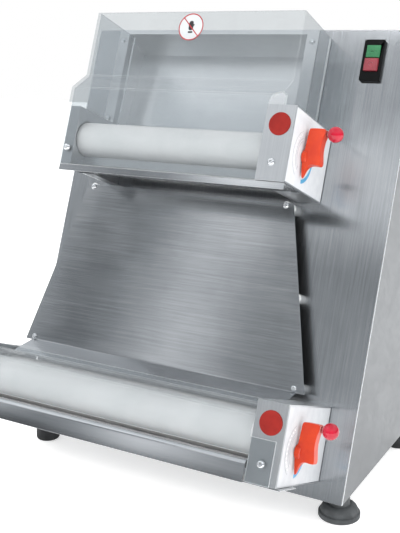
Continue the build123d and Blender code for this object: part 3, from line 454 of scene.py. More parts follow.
@dataclass(frozen=True)
class Palette:
    """Every finish of the machine: its sheets first, then its plastics, prints and machined pieces."""

    casing: BrushedSteel
    side: BrushedSteel
    slide: BrushedSteel
    fold: BrushedSteel
    tray: BrushedSteel
    box: BrushedSteel
    # Clear folded sheet, with paler matt lines where it was sawn; the same pale lines along its folds are a
    # painted highlight.
    guard: ClearSheet = ClearSheet("smoked_polycarbonate", "9da1a4", 0.12, "f2f4f5", 0.14)
    sawn_edge_and_highlight: ClearSheet = ClearSheet("sawn_polycarbonate_edge_and_painted_highlight", "e4e8ea", 0.25, "eef0f1", 0.55)
    roller: RollerPlastic = RollerPlastic("white_acetal", "fffbf9", 0.42, "f4f2f0")
    # Moulded nylon and phenolic: satin levers and plugs, and balls with a sharp highlight.
    orange: Moulded = Moulded("orange_nylon", "d03c0c", 0.32, "c43009")
    crimson: Moulded = Moulded("crimson_phenolic_ball", "bd1030", 0.1, "a60a26", 2.0, 0.003, 0.6)
    collar: Moulded = Moulded("dark_red_nylon", "8e1414", 0.35, "7a0f10")
    cap: Moulded = Moulded("red_nylon_plug", "931e16", 0.5, "841812", 0.9, 0.015, 0.25)
    # Rubber and dark housings: matt, with almost no highlight.
    rubber: Moulded = Moulded("black_rubber", "2c2e30", 0.7, "1e2021", 0.7, 0.05, 0.35)
    pad: Moulded = Moulded("grey_rubber", "55585a", 0.62, "45484a", 0.7, 0.04, 0.35)
    black: Moulded = Moulded("black_abs", "060708", 0.3, "030404", 0.9, 0.01, 0.15)
    # Button caps and small white fittings: smooth, with a soft highlight.
    green: Moulded = Moulded("green_abs", "2b7a4c", 0.3, "246c42")
    red: Moulded = Moulded("red_abs", "963a45", 0.3, "843039")
    ivory: Moulded = Moulded("white_nylon", "f6f7f7", 0.45, "eceeee")
    # Printed vinyl: flat, even colour on a smooth film.
    print_white: Moulded = Moulded("white_vinyl_print", "ffffff", 0.4, "f4f6f8", 0.5, 0.002)
    print_blue: Moulded = Moulded("blue_vinyl_print", "58a8d2", 0.4, "4c9cc8", 0.5, 0.002)
    print_grey: Moulded = Moulded("grey_vinyl_print", "9aa0a6", 0.4, "8d9399", 0.5, 0.002)
    print_dark: Moulded = Moulded("black_vinyl_print", "2b2a2d", 0.45, "202022", 0.5, 0.002)
    print_red: Moulded = Moulded("red_vinyl_print", "b3262c", 0.45, "9c1e24", 0.5, 0.002)
    plate_white: Moulded = Moulded("white_vinyl_plate", "dfe2e5", 0.33, "d8dbdf", 0.5, 0.003)
    plate_grey: Moulded = Moulded("silver_vinyl_plate", "cdd0d3", 0.3, "c4c7cb", 0.5, 0.003)
    # Bare steel: ground edges are near-white, a painted highlight line over their real ground finish;
    # polished heads sparkle, machined parts are dull.
    ground_edge_and_highlight: Turned = Turned("ground_sheet_edge_and_painted_highlight", "f4f6f8", 0.5)
    polished: Turned = Turned("polished_stainless", "e4e6e8", 0.1)
    machined: Turned = Turned("machined_steel", "9b9da0", 0.32)
    # Stove enamel with a slight orange peel, and fabric-backed rubber.
    paint: Moulded = Moulded("grey_motor_enamel", "545a5f", 0.4, "4a5055", 2.5, 0.03)
    belt: Moulded = Moulded("black_neoprene_belt", "222324", 0.75, "191a1a", 0.6, 0.03, 0.3)

    @classmethod
    def for_lean(cls, lean: float) -> "Palette":
        """The palette with its brushed sheets turned to the panel's lean."""
        return cls(
            casing=BrushedSteel("brushed_steel_panel", "c9cbcd", 0.18, Grain.UPRIGHT, lean, 0.85, "a3a6a9"),
            # The side, top, back and base sheets are the front's steel drawn much darker: painted shade.
            side=BrushedSteel("brushed_steel_side_painted_shade", "75787b", 0.33, Grain.UPRIGHT, 0.0, 0.4, "636669"),
            slide=BrushedSteel("brushed_steel_slide", "c6c8ca", 0.16, Grain.ACROSS, lean, 0.88, "9da0a3"),
            fold=BrushedSteel("brushed_steel_folded", "e4e5e6", 0.3, Grain.ACROSS, lean, 0.3, "cfd1d3"),
            tray=BrushedSteel("brushed_steel_tray", "c0c2c4", 0.14, Grain.ACROSS, lean, 0.0),
            box=BrushedSteel("brushed_steel_box", "d6d8da", 0.36, Grain.UPRIGHT, lean, 0.3, "b9bcbf"),
        )


# ---- Mesh tools ------------------------------------------------------------------------------
def to_object(name: str, mesh: Mesh) -> Thing:
    """Put a mesh in the scene as an object at the origin."""
    thing = bpy.data.objects.new(name, mesh)
    bpy.context.scene.collection.objects.link(thing)
    return thing


def settle(work: bmesh.types.BMesh, name: str, matrix: Optional[Matrix] = None) -> Mesh:
    """Close a bmesh into a mesh with outward faces.

    Args:
        work: the bmesh, freed here.
        name: the mesh's name.
        matrix: a transform to bake in.

    Returns:
        The mesh.
    """
    bmesh.ops.remove_doubles(work, verts=work.verts, dist=1e-7)
    if matrix is not None:
        bmesh.ops.transform(work, matrix=matrix, verts=work.verts)
    bmesh.ops.recalc_face_normals(work, faces=work.faces)
    mesh = bpy.data.meshes.new(name)
    work.to_mesh(mesh)
    work.free()
    return mesh


def finished(thing: Thing) -> Mesh:
    """The object's mesh with its modifiers applied; the object itself is removed."""
    graph = bpy.context.evaluated_depsgraph_get()
    mesh = bpy.data.meshes.new_from_object(thing.evaluated_get(graph), depsgraph=graph)
    bpy.data.objects.remove(thing)
    return mesh


def smooth(mesh: Mesh, angle: float = 35.0) -> Mesh:
    """Shade a mesh smooth, with edges sharper than angle degrees kept crisp."""
    mesh.shade_smooth()
    mesh.set_sharp_from_angle(angle=math.radians(angle))
    return mesh


def eased(mesh: Mesh, radius: float, steps: int = 2, angle: float = 35.0) -> Mesh:
    """Round a mesh's sharp edges.

    Args:
        mesh: the mesh, in metres.
        radius: size of the rounding in millimetres.
        steps: segments in each rounded edge.
        angle: least angle in degrees of an edge that is rounded.

    Returns:
        A new mesh with rounded edges and flat faces that stay flat.
    """
    thing = to_object("easing", smooth(mesh, angle))
    edge = thing.modifiers.new("ease", "BEVEL")
    edge.width = radius * MM
    edge.segments = steps
    edge.limit_method = "ANGLE"
    edge.angle_limit = math.radians(angle)
    edge.harden_normals = True
    edge.use_clamp_overlap = True
    return finished(thing)


def revolved(
    profile: Profile, around: int, matrix: Matrix, name: str, reach: Optional[Callable] = None
) -> Mesh:
    """Turn a profile about its own z axis.

    Args:
        profile: (radius, height) points in millimetres; a radius of 0 closes the end.
        around: steps round the axis.
        matrix: transform from the profile's millimetres to the world.
        name: the mesh's name.
        reach: gives a ring's radius from (row, radius, angle), where it isn't round.

    Returns:
        The closed mesh.
    """
    work = bmesh.new()
    rings = []
    for row, (radius, height) in enumerate(profile):
        if radius == 0:
            rings.append([work.verts.new((0, 0, height))])
            continue
        ring = []
        for step in range(around):
            angle = 2 * math.pi * step / around
            out = reach(row, radius, angle) if reach else radius
            ring.append(work.verts.new((out * math.cos(angle), out * math.sin(angle), height)))
        rings.append(ring)
    closed = profile[0][0] != 0
    pairs = list(zip(rings, rings[1:])) + ([(rings[-1], rings[0])] if closed else [])
    for lower, upper in pairs:
        for step in range(around):
            after = (step + 1) % around
            if len(lower) == 1:
                work.faces.new((lower[0], upper[step], upper[after]))
            elif len(upper) == 1:
                work.faces.new((lower[step], upper[0], lower[after]))
            else:
                work.faces.new((lower[step], upper[step], upper[after], lower[after]))
    return smooth(settle(work, name, matrix))


def arc_points(centre: tuple[float, float], radius: float, start: float, end: float, steps: int) -> Profile:
    """Points of an arc, from start to end degrees."""
    angles = [math.radians(start + (end - start) * i / steps) for i in range(steps + 1)]
    return [(centre[0] + radius * math.cos(a), centre[1] + radius * math.sin(a)) for a in angles]


def rounded_curve(corners: Profile, per_corner: int = 6) -> Profile:
    """A closed smooth outline that runs through the middles of its corners' sides."""
    points = []
    for i, corner in enumerate(corners):
        before, after = corners[i - 1], corners[(i + 1) % len(corners)]
        start = ((before[0] + corner[0]) / 2, (before[1] + corner[1]) / 2)
        end = ((after[0] + corner[0]) / 2, (after[1] + corner[1]) / 2)
        for step in range(per_corner):
            t = step / per_corner
            points.append(
                tuple(start[k] * (1 - t) ** 2 + 2 * corner[k] * t * (1 - t) + end[k] * t * t for k in (0, 1))
            )
    return points


def slabbed(outline: Profile, low: float, high: float, matrix: Matrix, name: str) -> Mesh:
    """A flat closed piece with the given outline, from height low to high, in millimetres."""
    work = bmesh.new()
    rings = [[work.verts.new((x, y, z)) for x, y in outline] for z in (low, high)]
    work.faces.new(rings[0])
    work.faces.new(rings[1])
    for i in range(len(outline)):
        j = (i + 1) % len(outline)
        work.faces.new((rings[0][i], rings[0][j], rings[1][j], rings[1][i]))
    return settle(work, name, matrix)


def joined(name: str, meshes: Iterable[Mesh]) -> Mesh:
    """One mesh made of several, with their material slots kept apart."""
    things = [to_object(f"{name}_{i}", mesh) for i, mesh in enumerate(meshes)]
    first = things[0]
    with bpy.context.temp_override(active_object=first, selected_editable_objects=things, object=first):
        bpy.ops.object.join()
    mesh = things[0].data
    bpy.data.objects.remove(things[0])
    mesh.name = name
    return mesh


# ---- Geometry Nodes --------------------------------------------------------------------------
class Grower:
    """A Geometry Nodes tree with named inputs, run once and turned into a plain mesh."""

    def __init__(self, name: str, inputs: dict[str, str]) -> None:
        """Make the tree with its inputs.

        Args:
            name: the tree's name.
            inputs: socket type by input name.
        """
        self.tree = bpy.data.node_groups.new(name, "GeometryNodeTree")
        self.tree.interface.new_socket("Geometry", in_out="OUTPUT", socket_type="NodeSocketGeometry")
        self.tree.interface.new_socket("Geometry", in_out="INPUT", socket_type="NodeSocketGeometry")
        for key, kind in inputs.items():
            self.tree.interface.new_socket(key, in_out="INPUT", socket_type=f"NodeSocket{kind}")
        self.entry = self.tree.nodes.new("NodeGroupInput").outputs

    def close(self, geometry: Socket) -> None:
        """End the tree in Realize Instances and Set Material."""
        real = add_node(self.tree, "GeometryNodeRealizeInstances", Geometry=geometry)
        made = {"Geometry": real.outputs["Geometry"], "Material": self.entry["Material"]}
        dressed = add_node(self.tree, "GeometryNodeSetMaterial", **made)
        leave = self.tree.nodes.new("NodeGroupOutput")
        self.tree.links.new(dressed.outputs["Geometry"], leave.inputs["Geometry"])

    def grow(self, name: str, start: Mesh, values: dict[str, Any]) -> Mesh:
        """Run the tree.

        Args:
            name: the new mesh's name.
            start: the mesh that the tree starts from.
            values: the tree's inputs by name.

        Returns:
            The result as a plain mesh.
        """
        thing = to_object(name, start)
        modifier = thing.modifiers.new("grow", "NODES")
        modifier.node_group = self.tree
        for item in self.tree.interface.items_tree:
            if item.in_out == "INPUT" and item.name in values:
                modifier[item.identifier] = values[item.name]
        mesh = finished(thing)
        mesh.name = name
        return mesh


def copies_tree() -> Grower:
    """Copies of one piece on points, each spun at random about its own axis."""
    kinds = {"Template": "Object", "Facing": "Vector", "Spin": "Float", "Seed": "Int", "Material": "Material"}
    grower = Grower("placed_copies", kinds)
    tree, entry = grower.tree, grower.entry
    piece = add_node(tree, "GeometryNodeObjectInfo", Object=entry["Template"]).outputs["Geometry"]
    placing = {"Points": entry["Geometry"], "Instance": piece, "Rotation": entry["Facing"]}
    set_down = add_node(tree, "GeometryNodeInstanceOnPoints", **placing)
    chance = add_node(tree, "FunctionNodeRandomValue", {"data_type": "FLOAT"}, Seed=entry["Seed"]).outputs[1]
    angle = add_node(tree, "ShaderNodeMath", TIMES, _0=chance, _1=entry["Spin"]).outputs[0]
    turn = add_node(tree, "ShaderNodeCombineXYZ", Z=angle).outputs["Vector"]
    turning = {"Instances": set_down.outputs["Instances"], "Rotation": turn, "Local_Space": True}
    spun = add_node(tree, "GeometryNodeRotateInstances", **turning)
    grower.close(spun.outputs["Instances"])
    return grower


def band_tree() -> Grower:
    """A flat printed arc: a strip of even width and thickness along part of a circle."""
    kinds = {"Radius": "Float", "Start": "Float", "Sweep": "Float", "Width": "Float", "Thick": "Float"}
    grower = Grower("printed_arc", {**kinds, "Steps": "Int", "Material": "Material"})
    tree, entry = grower.tree, grower.entry
    arc = add_node(
        tree,
        "GeometryNodeCurveArc",
        {"mode": "RADIUS"},
        Resolution=entry["Steps"],
        Radius=entry["Radius"],
        Start_Angle=entry["Start"],
        Sweep_Angle=entry["Sweep"],
    )
    shape = add_node(
        tree, "GeometryNodeCurvePrimitiveQuadrilateral", Width=entry["Thick"], Height=entry["Width"]
    )
    band = add_node(
        tree,
        "GeometryNodeCurveToMesh",
        Curve=arc.outputs["Curve"],
        Profile_Curve=shape.outputs["Curve"],
        Fill_Caps=True,
    )
    grower.close(band.outputs["Mesh"])
    return grower


# ---- Workshop --------------------------------------------------------------------------------
class Workshop:
    """What every sub-assembly builds with: the frame, the palette and the shared trees."""

    def __init__(self, frame: dict[str, Any]) -> None:
        """Read the frame and make the palette and the trees."""
        self.frame = frame
        self.panel = Panel(frame)
        self.finish = Palette.for_lean(self.panel.lean)
        self.copies = copies_tree()
        self.bands = band_tree()
        self.body_of = {n: b for b, ns in frame["record"]["behaviour"]["bodies"].items() for n in ns}
        self.slot_of = {part["node"]: part["material_slot"] for part in frame["record"]["subparts"]}

    def add(
        self, name: str, mesh: Mesh, finish: Optional[Finish], node: str, stands_for: bool = True
    ) -> None:
        """Add a piece that rides with a CAD node.

        Args:
            name: the piece's name.
            mesh: its mesh, in metres.
            finish: its finish, or None where the mesh has its own.
            node: the CAD node whose body it takes.
            stands_for: whether it replaces that node.
        """
        thing = to_object(name, mesh)
        mesh.name = name
        if finish is not None:
            mesh.materials.clear()
            mesh.materials.append(finish.material())
        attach(thing, self.body_of[node])
        if stands_for:
            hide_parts(node)
        LOG.info("%s: %d faces, rides %s", name, len(mesh.polygons), self.body_of[node])

    def paint(self, finish: Finish, *nodes: str) -> None:
        """Give CAD nodes whose shape is right their finish."""
        for node in nodes:
            slots = self.frame["nodes"][node].data.materials
            slots.clear()
            slots.append(finish.material())
            LOG.info("%s: painted %s", node, finish.name)

    def copy(self, node: str) -> Mesh:
        """A CAD node's mesh, merged and with its flat faces made whole."""
        work = bmesh.new()
        work.from_mesh(self.frame["nodes"][node].data)
        bmesh.ops.remove_doubles(work, verts=work.verts, dist=2e-6)
        bmesh.ops.dissolve_limit(work, angle_limit=math.radians(0.3), verts=work.verts, edges=work.edges)
        mesh = bpy.data.meshes.new(node)
        work.to_mesh(mesh)
        work.free()
        return mesh

    def dress(self, node: str, finish: Finish, radius: float, name: Optional[str] = None) -> None:
        """Replace a CAD node by the same shape with rounded edges."""
        self.add(name or f"{node}_sheet", eased(self.copy(node), radius), finish, node)

    def template(self, mesh: Mesh) -> Thing:
        """An object for a tree to copy, kept out of every picture."""
        thing = to_object("template", mesh)
        thing.hide_render = True
        return thing

    def place_copies(
        self, name: str, template: Mesh, places: list[Vector], facing: Facing, finish: Finish, spin: float
    ) -> Mesh:
        """Copies of a piece, modelled in metres about its own z axis, at world points.

        Args:
            name: the new mesh's name.
            template: the piece.
            places: the points.
            facing: where the piece's z axis points.
            finish: the copies' finish.
            spin: the most that a copy turns about its own axis, in degrees.

        Returns:
            All copies as one mesh.
        """
        points = bpy.data.meshes.new(name)
        points.from_pydata([tuple(p) for p in places], [], [])
        turned = Matrix(self.panel.basis(facing)).transposed().to_euler()
        source = self.template(template)
        values = {
            "Template": source,
            "Facing": tuple(turned),
            "Spin": math.radians(spin),
            "Seed": SPIN_SEED,
            "Material": finish.material(),
        }
        mesh = self.copies.grow(name, points, values)
        bpy.data.objects.remove(source)
        return smooth(mesh)


# ---- Casing ----------------------------------------------------------------------------------
@dataclass
class Casing:
    """The sheet-steel casing with its feet and the cable gland."""

    shop: Workshop
    fold: float = 0.6
    edge_turn: float = 0.3
    around: int = 64
    foot_edge: float = 4.0
    groove: float = 1.2

    def build(self) -> None:
        """Dress the sheets, then make the feet."""
        finish = self.shop.finish
        self.shop.dress("front_panel", finish.casing, 0.35)
        for node in ("left_side_panel", "right_side_panel"):
            self.side_sheet(node)
        # These sheets take the darkened side steel, a painted shade.
        for node in ("top_panel", "back_panel", "base_plate"):
            self.shop.dress(node, finish.side, 0.3)
        self.shop.dress("cable_gland", finish.black, 0.5, "cable_gland_body")
        self.plain_feet()
        self.levelling_foot()

    def side_sheet(self, node: str) -> None:
        """A side sheet whose narrow front edge takes near-white steel: its real ground edge, brightened into
        a painted highlight along the corner.
        """
        shop = self.shop
        mesh = eased(shop.copy(node), self.fold)
        mesh.materials.clear()
        # The sheet's own steel is the darkened side steel, a painted shade.
        mesh.materials.append(shop.finish.side.material())
        mesh.materials.append(shop.finish.ground_edge_and_highlight.material())
        # Faces turned out of the panel, the front edge and its rounding, take the near-white steel: a painted
        # highlight line.
        for face in mesh.polygons:
            if face.normal.dot(shop.panel.out) > self.edge_turn:
                face.material_index = 1
        shop.add(f"{node}_sheet", mesh, None, node)

    def plain_feet(self) -> None:
        """Three rubber feet with a rounded tread and a moulding groove near the top."""
        shop = self.shop
        low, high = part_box("plain_feet")
        shapes = []
        for part in shop.panel.extents("plain_feet"):
            middle = shop.panel.point(*part.middle)
            radius = part.size.x / 2
            height = (high.z - low.z) / MM
            edge = self.foot_edge
            profile = [(0, 0.6), (radius - edge - 3, 0.6), (radius - edge - 2, 0)]
            profile += arc_points((radius - edge, edge), edge, -90, 0, 6)
            profile += [(radius - 0.4, height * 0.72), (radius - self.groove, height * 0.74)]
            profile += [(radius - self.groove, height * 0.78), (radius - 0.4, height * 0.8)]
            profile += [(radius - 0.2, height - 1), (radius - 1, height), (0, height)]
            matrix = shop.panel.matrix(Vector((middle.x, middle.y, 0)), Facing.UP)
            shapes.append(revolved(profile, self.around, matrix, "foot"))
        shop.add("plain_feet_rubber", joined("plain_feet_rubber", shapes), shop.finish.rubber, "plain_feet")

    def levelling_foot(self) -> None:
        """The wide foot: a pad with a raised rim, a domed shoulder and a stout neck."""
        shop = self.shop
        low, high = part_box("levelling_foot")
        radius = (high.x - low.x) / 2 / MM
        height = (high.z - low.z) / MM
        neck = radius * 0.5
        profile = [(0, 0.8), (radius - 6, 0.8), (radius - 5, 0), (radius - 1.5, 0)]
        profile += arc_points((radius - 1.5, 1.5), 1.5, -60, 0, 4)
        profile += [(radius, 6.4), (radius - 0.6, 7.4), (radius - 2.2, 7.9), (radius - 2.6, 8.8)]
        profile += arc_points((neck + 1, 8.2), radius - neck - 3.8, 4, 84, 9)
        profile += [(neck + 0.2, 18.6), (neck - 0.2, 20.5), (neck - 0.6, height - 3)]
        profile += [(neck - 1.2, height), (0, height)]
        middle = Vector(((low.x + high.x) / 2, (low.y + high.y) / 2, low.z))
        mesh = revolved(profile, self.around, shop.panel.matrix(middle, Facing.UP), "levelling_foot_rubber")
        shop.add("levelling_foot_rubber", mesh, shop.finish.pad, "levelling_foot")


# ---- Front sheets ----------------------------------------------------------------------------
@dataclass
class FrontSheets:
    """The chute, the slide plate with its spacers, and the small screws of the front."""

    shop: Workshop
    screw_rows: int = 6
    cross: float = 1.9
    cross_width: float = 0.7

    def build(self) -> None:
        """Dress the sheets and set the screws."""
        shop, finish = self.shop, self.shop.finish
        shop.dress("chute", finish.fold, 0.4)
        shop.dress("slide_plate", finish.slide, 0.35)
        shop.dress("slide_spacers", finish.ivory, 0.4, "slide_spacer_tubes")
        heads = shop.panel.extents("panel_screws")
        radius = heads[0].size.x / 2
        height = 0.65 * radius
        places = [shop.panel.point(e.middle.x, e.middle.y, e.high.z - height) for e in heads]
        template = self.screw_head(radius, height, heads[0].size.z - height)
        mesh = shop.place_copies("panel_screw_heads", template, places, Facing.OUT, finish.polished, 90.0)
        shop.add("panel_screw_heads", mesh, None, "panel_screws")

    def screw_head(self, radius: float, height: float, shank: float) -> Mesh:
        """A pan head with a cross recess and its shank.

        Args:
            radius: of the head, in millimetres.
            height: of the head.
            shank: length below the head.

        Returns:
            The screw, its seat at the origin.
        """
        profile = [(0, -shank), (radius * 0.5, -shank), (radius * 0.55, -shank + 0.5), (radius * 0.55, 0)]
        profile += [(radius * 0.96, 0.0), (radius, 0.25)]
        steps = self.screw_rows
        top = self.cross + 0.5
        for i in range(1, steps + 1):
            share = i / steps
            rise = 0.25 + (height - 0.25) * math.sin(share * math.pi / 2)
            profile.append((radius + (top - radius) * share, rise))
        profile += [(self.cross, height), (self.cross * 0.9, height - 0.9), (0, height - 1.1)]
        rows = len(profile)

        def reach(row: int, ring: float, angle: float) -> float:
            """The recess follows a cross; every other ring is round."""
            if row < rows - 3:
                return ring
            fold = abs((angle + math.pi / 4) % (math.pi / 2) - math.pi / 4)
            across = max(self.cross * math.sin(fold), 1e-3)
            return max(ring * 0.28, ring * min(1.0, self.cross_width / across))

        return revolved(profile, 32, Matrix.Scale(MM, 4), "screw", reach)


# ---- Switch station --------------------------------------------------------------------------
@dataclass
class SwitchStation:
    """The start and stop switch."""

    shop: Workshop
    mark_height: float = 0.25

    def build(self) -> None:
        """The housing, and two buttons with raised marks."""
        shop, finish = self.shop, self.shop.finish
        shop.dress("switch_housing", finish.black, 0.8, "switch_frame")
        self.button("start_button", finish.green, self.bar_mark)
        self.button("stop_button", finish.red, self.ring_mark)

    def button(self, node: str, finish: Finish, mark: Callable[[Extent], Mesh]) -> None:
        """A button with rounded edges and its mark."""
        shop = self.shop
        shop.dress(node, finish, 1.4, f"{node}_cap")
        where = shop.panel.extent(node)
        shop.add(f"{node}_mark", mark(where), shop.finish.ivory, node, False)

    def bar_mark(self, where: Extent) -> Mesh:
        """The plain bar on the start button."""
        place = self.shop.panel.point(where.middle.x, where.middle.y, where.high.z - self.mark_height)
        outline = rounded_curve([(-0.6, -4.2), (0.6, -4.2), (0.6, 4.2), (-0.6, 4.2)])
        matrix = self.shop.panel.matrix(place, Facing.OUT) @ Matrix.Rotation(math.pi / 2, 4, "Z")
        return slabbed(outline, 0, self.mark_height, matrix, "bar")

    def ring_mark(self, where: Extent) -> Mesh:
        """The plain ring on the stop button."""
        place = self.shop.panel.point(where.middle.x, where.middle.y, where.high.z - self.mark_height)
        profile = [(2.6, 0), (3.5, 0), (3.5, self.mark_height), (2.6, self.mark_height)]
        return revolved(profile, 40, self.shop.panel.matrix(place, Facing.OUT), "ring")


# ---- Roller heads ----------------------------------------------------------------------------
@dataclass
class RollerHead:
    """One pair of rollers with its bracket, box, scale and lever."""

    shop: Workshop
    name: str
    plate: Finish
    around: int = 96
    edge: float = 1.2
    arm_depth: float = 7.0
    dots: int = 11
    dot_radius: float = 1.05
    scale_radius: float = 29.5
    print_height: float = 0.12
    dot_span: tuple = (28, 112)
    arcs: tuple = ((24.5, 0.5), (33.8, 0.45), (20.6, 0.4))
    arc_span: tuple = (22.0, 125.0)
    crescent_radius: float = 35.5

    def build(self) -> None:
        """Everything of the head."""
        shop, finish, n = self.shop, self.shop.finish, self.name
        shop.dress(f"{n}_left_bracket", finish.box, 0.5)
        shop.dress(f"{n}_control_box", finish.box, 0.6)
        shop.dress(f"{n}_scale_plate", self.plate, 0.15, f"{n}_scale_face")
        for place in ("front", "back"):
            self.roller(place)
            shop.paint(finish.machined, f"{n}_{place}_shaft", f"{n}_{place}_gear")
        shop.paint(finish.machined, f"{n}_cam", f"{n}_pulley", f"{n}_front_bearings")
        shop.paint(finish.belt, f"{n}_belt")
        self.lever()
        self.ball()
        self.scale()
        # Left out of reflections, because the brushed panel shows them as too strong a red patch.
        for piece in ("lever_moulding", "ball_knob_ball"):
            bpy.data.objects[f"{n}_{piece}"].visible_glossy = False

    def roller(self, place: str) -> None:
        """A turned roller sleeve: rounded ends with a shallow step, open for its shaft."""
        shop, node = self.shop, f"{self.name}_{place}_roller"
        where = shop.panel.extent(node)
        radius, length, edge = where.size.y / 2, where.size.x, self.edge
        core = shop.panel.extent(f"{self.name}_{place}_shaft").size.y / 2
        half = length / 2
        end = [(core, half - 1.5), (core + 3, half - 1.5), (core + 3.6, half), (radius - edge, half)]
        end += arc_points((radius - edge, half - edge), edge, 75, 0, 5)
        profile = [(r, -z) for r, z in end] + [(r, z) for r, z in reversed(end)]
        for i in range(1, 8):
            profile.insert(len(end) + i - 1, (radius, (half - edge) * (i / 4 - 1)))
        matrix = shop.panel.matrix(shop.panel.point(*where.middle), Facing.RIGHT)
        mesh = revolved(profile, self.around, matrix, node)
        shop.add(f"{node}_sleeve", mesh, shop.finish.roller, node)

    def pivot(self) -> Vector:
        """The lever's pivot on the scale plate's face, in panel coordinates."""
        joint = self.shop.panel.joints[f"{self.name}_lever_turn"]
        local = self.shop.panel.local(Vector(joint["pos_m"]))
        return Vector((self.shop.panel.extent(f"{self.name}_lever").low.x, local.y, local.z))

    def lever(self) -> None:
        """The moulded lever: a broad arm that runs down into a pointer, on a round hub."""
        shop, node = self.shop, f"{self.name}_lever"
        where, pivot = shop.panel.extent(node), self.pivot()
        wide, tall = where.size.x, where.high.y - pivot.y
        tip = pivot.y - where.low.y
        corners = [
            (2.6, -tip), (4.4, -tip + 1), (6.5, -tip + 11), (9.5, -13.0), (14, -10.4), (wide - 4, -11.4),
            (wide - 0.4, -10.6), (wide - 0.9, -3.5), (wide - 2.8, 6), (wide - 3.2, 15), (wide - 2.2, 25),
            (wide - 0.1, 31), (wide, tall - 0.4), (wide - 5, tall + 0.1), (8, tall + 0.1), (4.2, tall - 0.8),
            (3.6, 28), (2.8, 12), (1.2, -2), (1.2, -tip + 12), (2.0, -tip + 2),
        ]
        outline = rounded_curve(corners, 4)
        work = bmesh.new()
        rings = []
        for side in (-1, 1):
            ring = []
            for x, u in outline:
                narrow = min(1.0, max(0.0, (u + tip) / (tip - 6)))
                depth = side * (1.6 + (self.arm_depth - 1.6) * narrow)
                ring.append(work.verts.new((x, u, depth)))
            rings.append(ring)
        work.faces.new(rings[0])
        work.faces.new(rings[1])
        for i in range(len(outline)):
            j = (i + 1) % len(outline)
            work.faces.new((rings[0][i], rings[0][j], rings[1][j], rings[1][i]))
        place = shop.panel.point(pivot.x, pivot.y, pivot.z)
        arm = eased(settle(work, "arm", shop.panel.matrix(place, Facing.OUT)), 1.1, 3, 50.0)
        hub_profile = [(0, 0), (9.0, 0), (9.6, 0.6), (9.6, 5.6)]
        hub_profile += arc_points((8.2, 5.6), 1.4, 0, 90, 4) + [(0, 7.0)]
        hub = revolved(hub_profile, 64, shop.panel.matrix(place, Facing.RIGHT), "hub")
        shop.add(f"{node}_moulding", joined(node, [arm, hub]), shop.finish.orange, node)
        self.set_screw(node, pivot)

    def set_screw(self, node: str, pivot: Vector) -> None:
        """The small socket screw in the arm's face that holds it on its shaft."""
        shop = self.shop
        place = shop.panel.point(pivot.x + 5.0, pivot.y - 1.0, pivot.z + self.arm_depth - 1.4)
        profile = [(0, 0), (1.9, 0), (1.9, 1.5), (1.6, 1.65), (1.1, 1.65), (1.0, 0.7), (0, 0.6)]
        mesh = revolved(profile, 24, shop.panel.matrix(place, Facing.OUT), "set_screw")
        shop.add(f"{node}_set_screw", mesh, shop.finish.collar, node, False)

    def ball(self) -> None:
        """The ball knob: a turned ball with a small flat, on its dark collar."""
        shop, node = self.shop, f"{self.name}_ball_knob"
        where = shop.panel.extent(node)
        radius = where.size.y / 2
        seat = where.size.x - 2 * radius
        centre = shop.panel.point(where.high.x - radius, where.middle.y, where.middle.z)
        profile = [(0, -radius + 0.3)] + arc_points((0, 0), radius, -68, 90, 26)[:-1] + [(0, radius)]
        ball = revolved(profile, 56, shop.panel.matrix(centre, Facing.RIGHT), "ball")
        ball.materials.append(shop.finish.crimson.material())
        reach = radius + seat
        neck = [(0, -reach), (4.3, -reach), (4.5, -reach + 0.3), (4.2, -radius * 0.86)]
        neck += [(3.9, -radius * 0.7), (0, -radius * 0.7)]
        collar = revolved(neck, 40, shop.panel.matrix(centre, Facing.RIGHT), "collar")
        collar.materials.append(shop.finish.collar.material())
        shop.add(f"{node}_ball", joined(node, [ball, collar]), None, node)

    def scale(self) -> None:
        """The printed gap scale: dots along an arc, fine arcs inside them, and a blue crescent."""
        shop, pivot = self.shop, self.pivot()
        plate = f"{self.name}_scale_plate"
        face = shop.panel.extent(plate).high.x
        middle = shop.panel.point(face, pivot.y, pivot.z)
        matrix = shop.panel.matrix(middle, Facing.RIGHT)
        profile = [(0, -0.05), (self.dot_radius, -0.05)]
        profile += [(self.dot_radius, self.print_height), (0, self.print_height)]
        dot = revolved(profile, 20, Matrix.Scale(MM, 4), "dot")
        places = []
        for i in range(self.dots):
            angle = math.radians(self.dot_span[0] + self.dot_span[1] * i / (self.dots - 1))
            reach = self.scale_radius
            spot = Vector((reach * math.cos(angle), reach * math.sin(angle), 0))
            places.append(matrix @ spot)
        name = f"{self.name}_scale_dots"
        dots = shop.place_copies(name, dot, places, Facing.RIGHT, shop.finish.print_white, 0.0)
        shop.add(name, dots, None, plate, False)
        for k, (radius, width) in enumerate(self.arcs):
            self.arc(f"{self.name}_scale_arc_{k}", radius, width, matrix, plate)
        outline = arc_points((0, 0), self.crescent_radius, 190, 262, 18)
        outline += arc_points((4.4, 2.6), self.crescent_radius - 0.5, 258, 193, 18)
        crescent = slabbed(outline, -0.05, self.print_height, matrix, "crescent")
        shop.add(f"{self.name}_scale_crescent", crescent, shop.finish.print_blue, plate, False)

    def arc(self, name: str, radius: float, width: float, matrix: Matrix, node: str) -> None:
        """A thin printed arc about the lever's pivot, radius and width in millimetres."""
        start, sweep = (math.radians(angle) for angle in self.arc_span)
        values = {
            "Radius": radius,
            "Start": start,
            "Sweep": sweep,
            "Width": width,
            "Thick": self.print_height * 2,
            "Steps": 48,
            "Material": self.shop.finish.print_grey.material(),
        }
        mesh = self.shop.bands.grow(name, bpy.data.meshes.new(name), values)
        mesh.transform(matrix)
        self.shop.add(name, mesh, None, node, False)


